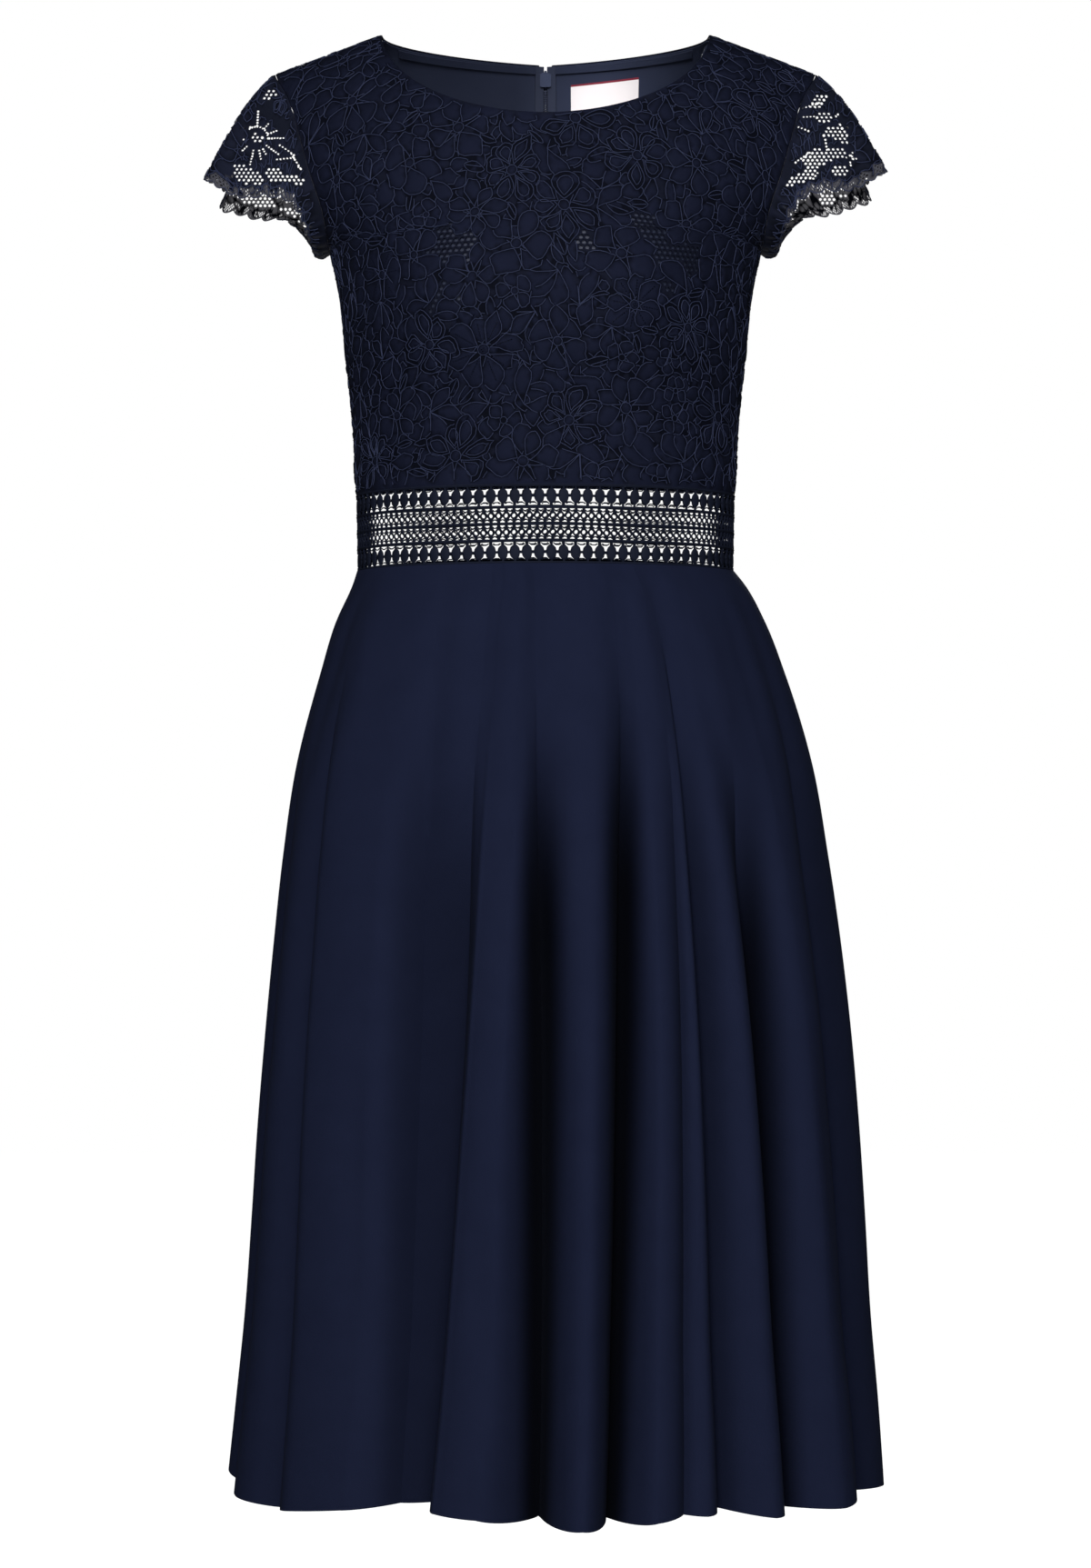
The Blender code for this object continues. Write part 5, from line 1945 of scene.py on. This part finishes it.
RIGHT_SLEEVE = SleevePattern(
    seed=31,
    suns=((-0.2035, -0.0590, 0.0195, 13),),
    rows=(
        (-0.1870, -0.0640, 0.014, -0.6),
        (-0.1790, -0.0700, 0.012, -1.0),
        (-0.1890, -0.0740, 0.013, 0.1),
        (-0.1740, -0.0790, 0.014, -0.7),
        (-0.1690, -0.0890, 0.014, -0.8),
        (-0.1650, -0.0620, 0.008, -1.2),
    ),
    nets=(
        (-0.2145, -0.0835, 0.0105, 0.0056, -0.12),
        (-0.2070, -0.0870, 0.0090, 0.0060, -0.25),
        (-0.1900, -0.0855, 0.0080, 0.0048, -0.2),
        (-0.1765, -0.0880, 0.0095, 0.0030, -0.2),
        (-0.1965, -0.0290, 0.0085, 0.0034, 0.25),
        (-0.2035, -0.0590, 0.0046, 0.0032, 0.0),
    ),
    back_nets=((-0.2020, -0.1035, 0.0130, 0.0056, -0.2), (-0.1800, -0.1110, 0.0070, 0.0028, -0.2)),
)
LEFT_SLEEVE = SleevePattern(
    seed=37,
    suns=((0.2080, -0.0400, 0.0066, 5), (0.2265, -0.0760, 0.0062, 5), (0.2140, -0.0735, 0.0056, 4)),
    rows=(
        (0.1790, -0.0390, 0.015, 0.35),
        (0.1770, -0.0445, 0.013, 0.05),
        (0.1760, -0.0505, 0.010, -0.35),
        (0.1760, -0.0760, 0.014, 0.6),
        (0.1970, -0.0600, 0.008, -1.4),
        (0.1840, -0.0930, 0.012, 0.9),
    ),
    nets=(
        (0.1925, -0.0330, 0.0075, 0.0038, 0.5),
        (0.2050, -0.0545, 0.0100, 0.0050, 0.1),
        (0.2135, -0.0565, 0.0085, 0.0066, 0.5),
        (0.1900, -0.0735, 0.0100, 0.0068, 0.3),
        (0.2020, -0.0705, 0.0100, 0.0044, 0.3),
        (0.1790, -0.0870, 0.0150, 0.0036, 0.4),
        (0.2070, -0.0830, 0.0054, 0.0052, 0.0),
        (0.1965, -0.0450, 0.0056, 0.0045, 0.0),
    ),
    back_nets=((0.1985, -0.1030, 0.0066, 0.0056, 0.0), (0.2120, -0.1010, 0.0056, 0.0034, 0.3)),
)


@dataclass
class Sleeves:
    """The two unlined cap sleeves."""

    form: TorsoForm
    finishes: Finishes
    maker: Haberdasher
    dresser: Dresser
    cloth: float = 0.00025
    cord_radius: float = 0.00036
    net_hole: float = 0.00112
    dot: float = 0.00088
    wider: float = 1.4
    most_off: float = 0.0010
    border_pitch: tuple[float, float] = (0.0020, 0.0018)
    border_hole: float = 0.00078
    back_pitch: tuple[float, float] = (0.0036, 0.0031)
    back_hole: float = 0.0015
    land: float = 0.0002

    def keep_in(self, panel: SleeveForm, lace: LaceMap, shapes: Array) -> Array:
        """The holes that lie wholly on the cloth, above the border."""
        above = shapes[..., 1] < panel.hem_at(shapes[..., 0]) - panel.border - 0.0005
        return shapes[np.all(lace.inside(shapes), axis=1) & np.all(above, axis=1)]

    def layer(self, panel: SleeveForm, lace: LaceMap, spots: Array, hole: float, front: bool) -> Array:
        """Outlines on the flat cloth of round holes as seen from the front, in one layer."""
        shown = spots[:, None] + ring(hole, 6)[None]
        flat, off = panel.under(shown.reshape(-1, 2), front)
        shapes = flat.reshape(-1, 6, 2)
        arms = shapes - shapes.mean(axis=1, keepdims=True)
        order = np.argsort(np.arctan2(arms[..., 1], arms[..., 0]), axis=1)
        shapes = np.take_along_axis(shapes, order[..., None], axis=1)
        after = np.roll(shapes, -1, axis=1)
        area = 0.5 * np.sum(shapes[..., 0] * after[..., 1] - shapes[..., 1] * after[..., 0], axis=1)
        near = np.all(off.reshape(-1, 6) < self.most_off, axis=1)
        near &= (area > 2.0 * hole**2) & np.all(np.linalg.norm(after - shapes, axis=2) > 0.15 * hole, axis=1)
        near &= np.max(np.ptp(shapes, axis=1), axis=1) < 12.0 * hole
        return self.keep_in(panel, lace, shapes[near])

    def pattern(self, panel: SleeveForm, seed: int, shapes: list[Array]) -> LaceMap:
        """Lay closed figures round the open ones."""
        rng = np.random.default_rng(seed)
        plain = MotifMaker(rng, ribbed=0.0)
        lace = LaceMap(panel.edge)
        for shape in shapes:
            lace.mark(np.concatenate([shape, shape[:1]]), 0.0009)
        lace.hold_edge()
        across = np.linspace(0.02, 0.98, 300)
        high = np.interp(across, panel.places, panel.lengths)
        line = np.stack([across * panel.round, high - panel.border], axis=1)
        line = spaced(line[high > panel.border + 0.006], 0.003)
        lace.lines.append(line)
        lace.mark(line, LaceMap.CORD_BAND)
        lace.scatter(rng, lambda: plain.flower(rng.uniform(0.014, 0.018), 7), 160, 0.9)
        lace.scatter(rng, lambda: plain.blossom(rng.uniform(0.008, 0.011)), 500, 0.85)
        lace.scatter(rng, lambda: plain.leaf(rng.uniform(0.012, 0.018)), 500, 0.8)
        return lace

    def border_holes(self, panel: SleeveForm, lace: LaceMap, cutter: LaceCutter) -> None:
        """Punch the border's fine mesh, and open the back layer where the front border covers it."""
        low, high = panel.edge.min(axis=0), panel.edge.max(axis=0)
        spots = lattice(low, high, self.border_pitch)
        below = spots[:, 1] > panel.hem_at(spots[:, 0]) - panel.border + 0.0008
        cutter.punch(spots[lace.vacant(spots) & below], self.border_hole, 5, self.land)
        spots = lattice(low, high, self.back_pitch)
        above = spots[:, 1] < panel.hem_at(spots[:, 0]) - panel.border - 0.002
        spots = spots[(spots[:, 0] > panel.round * 0.5) & above]
        ahead, off = panel.under(panel.view(spots), True)
        behind = (off < self.most_off) & (ahead[:, 1] > panel.hem_at(ahead[:, 0]) - panel.border)
        cutter.punch(spots[behind & lace.inside(spots)], self.back_hole, 6, self.land)

    def build(self) -> None:
        """Cut both sleeves."""
        for node, left, plan in (("sleeve_right", False, RIGHT_SLEEVE), ("sleeve_left", True, LEFT_SLEEVE)):
            panel = SleeveForm(self.form, left)
            blank = LaceMap(panel.edge)
            blank.hold_edge()
            shapes = []
            for spots, hole in ((plan.dots(), self.dot), (plan.holes(plan.nets), self.net_hole)):
                shapes += list(self.layer(panel, blank, spots, hole, True))
                shapes += list(self.layer(panel, blank, spots, hole * self.wider, False))
            shapes += list(self.layer(panel, blank, plan.holes(plan.back_nets), self.net_hole, False))
            lace = self.pattern(panel, plan.seed, shapes)
            # Painted light: the sleeves' inner side is painted pale all over.
            cutter = LaceCutter(panel, lace, self.cloth, inside_painted_light=1.0)
            cutter.holes += shapes
            self.border_holes(panel, lace, cutter)
            round_ = np.linspace(0.0, 1.0, 361)
            hem = panel.at(round_, np.ones(361))
            sheet, cords = cutter.build(
                node + "_lace", self.finishes.net, self.finishes.cord, self.maker, self.cord_radius, [hem]
            )
            self.dresser.put(sheet, Slot.LACE, node)
            self.dresser.put(cords, Slot.LACE)
            size = np.ptp(panel.edge, axis=0)
            area = lace_area(sheet, size, 0.99)


def smooth_mesh(name: str, points: Array, faces: list[list[int]]) -> Mesh:
    """Make the smooth mesh of a unit that is repeated."""
    mesh = bpy.data.meshes.new(name)
    mesh.from_pydata(points.tolist(), [], faces)
    mesh.shade_smooth()
    return mesh


def oval_mesh(wide: float, high: float, deep: float, round_: int = 10, rings: int = 5) -> Mesh:
    """A padded satin-stitched oval, with X along the row, Y up and Z out."""
    angles = np.linspace(0.0, 2 * math.pi, round_, endpoint=False)
    tilts = np.linspace(0.0, math.pi, rings + 2)[1:-1]
    rows = [
        np.stack(
            [
                wide / 2 * np.sin(tilt) ** 0.5 * np.cos(angles),
                high / 2 * np.sin(tilt) ** 0.5 * np.sin(angles),
                np.full(round_, deep / 2 * math.cos(tilt)),
            ],
            axis=1,
        )
        for tilt in tilts
    ]
    points = np.concatenate([*rows, [[0, 0, deep / 2]], [[0, 0, -deep / 2]]])
    body = grid_triangles(rings, round_, True)[:, ::-1]
    ids = np.arange(round_)
    after = np.roll(ids, -1)
    last = (rings - 1) * round_
    top = np.stack([np.full(round_, rings * round_), ids, after], axis=1)
    foot = np.stack([np.full(round_, rings * round_ + 1), last + after, last + ids], axis=1)
    return smooth_mesh("oval", points, np.concatenate([body, top, foot]).tolist())


def diamond_mesh(wide: float, high: float, hole: float, deep: float) -> Mesh:
    """A stitched diamond with a round hole, with X along the row, Y up and Z out."""
    count = 12
    angles = np.arange(count) * 2 * math.pi / count
    reach = 1.0 / (np.abs(np.cos(angles)) / (wide / 2) + np.abs(np.sin(angles)) / (high / 2))
    outer = polar(reach, angles)
    inner = polar(hole / 2, angles)
    middle = (outer + inner) / 2
    loops = ((outer, 0.0), (middle, deep / 2), (inner, 0.0), (middle, -deep / 2))
    points = np.concatenate([np.column_stack([line, np.full(count, z)]) for line, z in loops])
    faces = []
    for k in range(4):
        a, b = k * count, (k + 1) % 4 * count
        for i in range(count):
            j = (i + 1) % count
            faces.append([a + i, a + j, b + j, b + i])
    return smooth_mesh("diamond", points, faces)


@dataclass
class Waistband:
    """The open lace band, in a front and a back."""

    finishes: Finishes
    maker: Haberdasher
    dresser: Dresser
    form: TorsoForm
    top: float = -0.31145
    deep: float = 0.0530
    spread: float = 0.0845
    slip: float = 0.0009
    sag: float = 0.0009
    cup_radius: float = 0.00042
    ovals: int = 44
    diamonds: int = 69
    oval_rows: tuple[float, float] = (0.0076, 0.0457)
    diamond_rows: tuple[float, float] = (0.0211, 0.0323)
    rail_rows: tuple[float, ...] = (0.0003, 0.0152, 0.0266, 0.0379, 0.0527)
    rail_radius: float = 0.00110
    thread_radius: float = 0.00085
    cloth: float = LACE

    def line(self, below: float, face: Face, shares: Array) -> tuple[Array, Array, Array]:
        """Points, directions along and normals round half the waist.

        Args:
            below: Distance under the band's top edge.
            face: Which half.
            shares: Places from 0 at the wearer's right to 1.

        Returns:
            Points, tangents and outward normals.
        """
        z = self.top - below
        inner = min(1.0, below / 0.002, (self.deep - below) / 0.002)
        half = float(read(TORSO, "half_width", z))
        depth = float(read(TORSO, "front" if face is Face.FRONT else "back", z))
        angles = np.linspace(-math.pi / 2, math.pi / 2, 1441)
        path = np.stack([half * np.sin(angles), read(TORSO, "front", z) * np.cos(angles)], axis=1)
        along = lengths_along(path)
        angle = np.interp(np.asarray(shares) * along[-1], along, angles)
        if face is Face.BACK:
            angle = angle + (self.spread * np.sin(angle) - 0.005) * (1 - np.abs(np.sin(angle)) ** 16)
            wave = self.slip * np.cos(5 * angle)
            z = z - inner * np.cos(angle) * (self.spread * (below - self.deep / 2) - wave)
        ones = 0 * angle
        rise = self.form.waist_low(angle * 2 / math.pi, face) - self.form.waist_z
        points = np.stack([half * np.sin(angle), face.value * depth * np.cos(angle), z + rise], axis=1)
        out = unit(np.stack([np.sin(angle) / half, face.value * np.cos(angle) / depth, ones], axis=1))
        tangent = unit(np.cross([0.0, 0.0, 1.0], out))
        return points - out * self.cloth / 2, tangent, out

    def tubes(self, name: str, lines: list[Array], radius: float, sides: int) -> Object:
        """Make threads of the band."""
        return self.maker.cords(name, lines, radius, sides, self.finishes.band)

    def build(self) -> None:
        """Build both halves."""
        units = (
            ("ovals", oval_mesh(0.0071, 0.0106, 0.0016), self.ovals, self.oval_rows),
            ("diamonds", diamond_mesh(0.0062, 0.0084, 0.0030, 0.0012), self.diamonds, self.diamond_rows),
        )
        for face, node in ((Face.FRONT, "waist_lace_front"), (Face.BACK, "waist_lace_back")):
            parts = []
            for kind, shape, count, rows in units:
                shares = (np.arange(count) + 0.5) / count
                for number, below in enumerate(rows):
                    name = f"{node}_{kind}_{number}"
                    row = self.line(below, face, shares)
                    parts.append(self.maker.units(name, shape, *row, self.finishes.band))
            parts += [self.rails(face, node), self.threads(face, node), self.cups(face, node)]
            band = self.joined(node + "_stitching", parts)
            self.dresser.put(band, Slot.BAND, node)
            LOG.info("%s area %.4f", node, cloth_area(band))

    def rails(self, face: Face, node: str) -> Object:
        """The cords that run round the waist."""
        shares = np.linspace(0.0, 1.0, 181)
        lines = [self.line(below, face, shares)[0] for below in self.rail_rows]
        return self.tubes(node + "_rails", lines, self.rail_radius, 6)

    def stems(self, face: Face, count: int, rows: Sequence[tuple[float, float]]) -> list[Array]:
        """Short upright threads, one to each unit of a row, between two distances under the band's top."""
        shares = (np.arange(count) + 0.5) / count
        lines = []
        for start, end in rows:
            ends = (self.line(below, face, shares)[0] for below in (start, end))
            lines += [np.stack([a, b]) for a, b in zip(*ends)]
        return lines

    def threads(self, face: Face, node: str) -> Object:
        """The threads that hold the ovals and diamonds."""
        rows = ((0.0003, 0.0028), (0.0124, 0.0152), (0.0379, 0.0409), (0.0505, 0.0527))
        lines = self.stems(face, self.ovals, rows)
        for below in self.oval_rows:
            ends = np.arange(self.ovals - 1)
            left = self.line(below, face, (ends + 0.5 + 0.32) / self.ovals)[0]
            right = self.line(below, face, (ends + 1.5 - 0.32) / self.ovals)[0]
            lines += [np.stack([a, b]) for a, b in zip(left, right)]
        rows = ((0.0152, 0.0184), (0.0238, 0.0266), (0.0266, 0.0296), (0.0350, 0.0379))
        lines += self.stems(face, self.diamonds, rows)
        return self.tubes(node + "_threads", lines, self.thread_radius, 4)

    def cups(self, face: Face, node: str) -> Object:
        """The fine threads that sag between the stems, beside each rail."""
        lines = []
        for count, rows, reach in (
            (self.ovals, ((0.0018, 1), (0.0130, -1), (0.0398, 1), (0.0508, -1)), 0.30),
            (self.diamonds, ((0.0172, 1), (0.0247, -1), (0.0286, 1), (0.0360, -1)), 0.32),
        ):
            for below, side in rows:
                for middle in range(1, count):
                    shares = (middle + np.array([-1.0, -0.5, 0.5, 1.0]) * reach) / count
                    points = self.line(below, face, shares)[0]
                    points[1:3, 2] -= side * self.sag
                    lines.append(points)
        return self.tubes(node + "_cups", lines, self.cup_radius, 4)

    def joined(self, name: str, parts: list[Object]) -> Object:
        """Join parts into one plain mesh."""
        points, faces, base = [], [], 0
        for part in parts:
            mesh = part.data
            place = np.empty(len(mesh.vertices) * 3, np.float32)
            mesh.vertices.foreach_get("co", place)
            mesh.calc_loop_triangles()
            corners = np.empty(len(mesh.loop_triangles) * 3, np.int32)
            mesh.loop_triangles.foreach_get("vertices", corners)
            points.append(place.reshape(-1, 3))
            faces.append(corners.reshape(-1, 3) + base)
            base += len(mesh.vertices)
            bpy.data.objects.remove(part)
        return add_mesh(name, np.concatenate(points), np.concatenate(faces), self.finishes.band)


@dataclass
class Skirt:
    """The flared skirt in soft deep folds, in a front and a back."""

    finishes: Finishes
    dresser: Dresser
    top: float = -0.3646
    hem: float = -1.004
    back_rise: float = 0.0145
    growth: float = 0.16
    growth_power: float = 1.6
    roundness: float = 0.85
    rows: int = 80
    step: float = 0.0032
    deepen: float = 1.4
    deep_from: float = -0.012
    radius: float = 0.19
    row_power: float = 1.25

    def columns(self) -> Array:
        """Columns round the skirt: angle, reach, start, rise of the hem, painted shade and a valley's
        nearness.
        """
        columns = []
        for here, beyond in zip(FOLDS[:-1], FOLDS[1:]):
            ends = (here[1], beyond[1])
            low, high = sorted(reach * (self.deepen if reach < self.deep_from else 1.0) for reach in ends)
            wide = math.radians(beyond[0] - here[0]) * self.radius
            count = max(6, round(math.hypot(wide, high - low) / self.step))
            one_valley = min(here[4], beyond[4]) == 0.0
            for share in np.arange(count) / count:
                from_valley = share if beyond[1] > here[1] else 1.0 - share
                angle, _, start, rise, dark = (a + (b - a) * share for a, b in zip(here, beyond))
                dark = max(here[4], beyond[4]) if one_valley else dark
                near = 1.0 - from_valley if one_valley else 1.0
                reach = low + (high - low) * math.sin(math.pi / 2 * from_valley) ** self.roundness
                columns.append((angle, reach, start, rise, dark, near))
        return np.array(columns).T

    def build(self) -> None:
        """Build both halves."""
        degrees, reaches, starts, rises, darks, nears = self.columns()
        tops = self.top + self.back_rise * np.maximum(-np.cos(np.radians(degrees)), 0.0)
        shares = np.linspace(0.0, 1.0, self.rows) ** self.row_power
        rings, shades = [], []
        for share in shares:
            z = tops + (self.hem + rises - tops) * share
            leaning = degrees + np.interp(degrees, LEANS["angle"], LEANS["lean"]) * (1.0 - share)
            angles = np.radians(leaning)
            depth = np.where(np.cos(angles) > 0, read(SKIRT, "front", z), read(SKIRT, "back", z))
            grown = 1 - np.exp(-((np.maximum(starts - z, 0.0) / self.growth) ** self.growth_power))
            reach = reaches * grown - sum(crease.dent(leaning, z) for crease in CREASES)
            narrow = 0.05 + 0.50 * share
            # Painted shade: darkens the folds' valleys, narrowing towards the hem.
            shades.append(darks * ease(1.3 * (nears - narrow) / (1.0 - narrow)) * ease(grown / 0.7))
            x = read(SKIRT, "centre", z) + np.sin(angles) * (read(SKIRT, "half_width", z) + reach)
            rings.append(np.stack([x, -np.cos(angles) * (depth + reach), z], axis=1))
        outer, shade = np.array(rings), np.array(shades)
        rows, count = outer.shape[:2]
        triangles = grid_triangles(rows, count, True)
        normals = mesh_normals(outer.reshape(-1, 3), triangles).reshape(outer.shape)
        outward = unit(outer - outer.mean(axis=1, keepdims=True))
        if np.mean(np.sum(normals * outward, axis=2)) < 0:
            normals = -normals
        around = lengths_along(outer[-1])
        down = cumulative(outer, 0)
        seam = int(np.argmin(np.abs(degrees - 90.0)))
        for node, first, last in (("skirt_front", 0, seam), ("skirt_back", seam, count)):
            panel = np.arange(first, last + 1) % count
            points, out = outer[:, panel].copy(), normals[:, panel].copy()
            points[:, [0, -1], 1] = 0.0
            out[:, [0, -1], 1] = 0.0
            s = np.append(around, around[-1] + self.step)[np.arange(first, last + 1)]
            flat = np.stack([s + 0 * down[:, panel], down[:, panel]], axis=-1)
            # The painted valley shade goes to the crepe as a named number.
            values = {"painted_shade": shade[:, panel]}
            crepe = self.finishes.crepe
            piece = add_sheet(node + "_crepe", points, unit(out), SKIRT_CLOTH, crepe, flat, values)
            self.dresser.put(piece, Slot.CREPE, node)
            LOG.info("%s area %.3f hem %.3f", node, cloth_area(piece), s[-1] - s[0])
            cloth_area(piece)


@dataclass
class Zip:
    """The concealed zip, its slider and the label beside it."""

    bodice: Bodice
    finishes: Finishes
    maker: Haberdasher
    dresser: Dresser
    bottom: float = -0.292
    coil_top: float = -0.0065
    label_tilt: float = 0.05

    def build(self) -> None:
        """Build the tapes, coil and label, and dress the slider and pull."""
        depth = LACE + LINING_GAP
        for node, side in (("zip_tape_left", 1), ("zip_tape_right", -1)):
            z = np.linspace(self.bottom, self.bodice.form.back_neck_z, 70)[:, None]
            x = side * np.linspace(0.0018, 0.0082, 5)[None, :]
            outer, normals, flat = self.bodice.strip(x, z, depth)
            piece = add_sheet(node + "_weave", outer, normals, LINING, self.finishes.tape, flat)
            self.dresser.put(piece, Slot.TAPE, node)
        self.build_coil(depth)
        self.build_label()
        for node in ("zip_slider", "zip_pull"):
            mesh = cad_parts[node].data
            mesh.materials.clear()
            mesh.materials.append(self.finishes.metal)

    def build_coil(self, depth: float) -> None:
        """Build the coil's teeth, side by side down the centre line."""
        tooth = oval_mesh(0.0036, 0.0010, 0.0014, 8, 3)
        z = np.arange(self.bottom, self.coil_top, 0.00125)
        points, normals, _ = self.bodice.strip(np.array([[0.0, 1e-4]]), z[:, None], depth + LINING + 0.0009)
        points, normals = points[:, 0], normals[:, 0]
        points[:, 0] = 0.0
        normals[:, 0] = 0.0
        along = np.tile([1.0, 0.0, 0.0], (len(z), 1))
        teeth = self.maker.units("zip_coil_teeth", tooth, points, along, unit(normals), self.finishes.tape)
        self.dresser.put(teeth, Slot.TAPE, "zip_coil")

    def build_label(self) -> None:
        """Build the bare label, which hangs from its top edge."""
        x = np.linspace(0.0195, 0.0685, 25)[None, :]
        z = np.append(np.linspace(-0.034, -0.0037, 15), [-0.0034, -0.0025])[:, None]
        depth = LACE + 2 * LINING_GAP + LINING
        outer, normals, flat = self.bodice.strip(x, z, depth)
        hang = 0.1 * (z[-1, 0] - z) + 0 * x
        outer[..., 1] -= hang
        outer[..., 2] += self.label_tilt * (x - x.mean())
        values = {"main": (z < -0.0035) + 0.0 * x}
        satin = self.finishes.label
        label = add_sheet("neck_label_satin", outer, normals, LINING * 0.6, satin, flat, values)
        self.dresser.put(label, Slot.LABEL, "neck_label")


@dataclass
class Studio:
    """The plain pale floor and air, soft lights on all sides and the camera."""

    floor: float = -1.45
    wide: float = 6.0
    lens: float = 75.0
    glow: float = 1.0
    ambient: float = 0.025

    def build(self) -> None:
        """Set up all of it."""
        scene = bpy.context.scene
        ends = (-self.wide, self.wide)
        corners = np.array([(x, y, self.floor) for y in ends for x in ends])
        material, nodes, shader = start_material(
            "floor paper",
            Base_Color=(0.15, 0.15, 0.15, 1.0),
            Roughness=1.0,
            Specular_IOR_Level=0.0,
            Emission_Color=(1.0, 1.0, 1.0, 1.0),
        )
        seen = nodes.add("ShaderNodeLightPath").outputs["Is Camera Ray"]
        nodes.give(shader.inputs["Emission Strength"], nodes.maths("MULTIPLY", seen, self.glow))
        add_mesh("floor", corners, grid_triangles(2, 2), material)
        self.light("key", (-0.15, -2.7, 0.75), 0.9, 59.0)
        self.light("fill", (0.25, -3.0, -0.2), 1.2, 15.0)
        self.light("bounce", (0.0, -2.2, -1.35), 1.4, 16.0, (0.0, 0.0, -0.2))
        self.light("neck", (0.05, -1.60, 0.20), 0.03, 105.0, (0.042, 0.066, -0.016), 3.2)
        self.light("back key", (0.15, 2.9, 0.45), 1.2, 50.0)
        self.light("back bounce", (0.0, 2.2, -1.35), 1.4, 14.0, (0.0, 0.0, -0.2))
        world = bpy.data.worlds.new("studio air")
        world.use_nodes = True
        nodes = NodeTree(world.node_tree)
        air = world.node_tree.nodes["Background"]
        air.inputs["Color"].default_value = (1.0, 1.0, 1.0, 1.0)
        seen = nodes.add("ShaderNodeLightPath").outputs["Is Camera Ray"]
        nodes.give(air.inputs["Strength"], nodes.maths("MAXIMUM", seen, self.ambient))
        scene.world = world
        camera = bpy.data.cameras.new("camera")
        camera.lens = self.lens
        camera.sensor_width = 36.0
        camera.clip_start = 0.01
        holder = add_object("camera", camera)
        holder.location = CAMERA
        holder.rotation_euler = (math.pi / 2, 0.0, 0.0)
        scene.camera = holder
        scene.view_settings.view_transform = "Standard"

    def light(
        self,
        name: str,
        place: Triple,
        size: float,
        power: float,
        aim: Triple = (0.0, 0.0, -0.5),
        cone: float = 0.0,
    ) -> None:
        """Add a soft light that points at a place: square, or a spot where it has a cone in degrees."""
        lamp = bpy.data.lights.new(name, "SPOT" if cone else "AREA")
        if cone:
            lamp.spot_size = math.radians(cone)
            lamp.spot_blend = 0.6
            lamp.shadow_soft_size = size
        else:
            lamp.size = size
        lamp.energy = power
        holder = add_object(name, lamp)
        holder.location = place
        holder.rotation_euler = (Vector(aim) - Vector(place)).to_track_quat("-Z", "Y").to_euler()
        holder.visible_camera = False


def main() -> None:
    """Build the studio and the dress, piece by piece."""
    Studio().build()
    finishes = Finishes()
    maker = Haberdasher()
    dresser = Dresser()
    form = TorsoForm()
    Skirt(finishes, dresser).build()
    Waistband(finishes, maker, dresser, form).build()
    bodice = Bodice(form, finishes, maker, dresser)
    bodice.build()
    Sleeves(form, finishes, maker, dresser).build()
    Zip(bodice, finishes, maker, dresser).build()
    LOG.info("%d pieces", dresser.count)


if __name__ == "__main__":
    logging.basicConfig(level=logging.INFO, format="%(message)s")
    main()
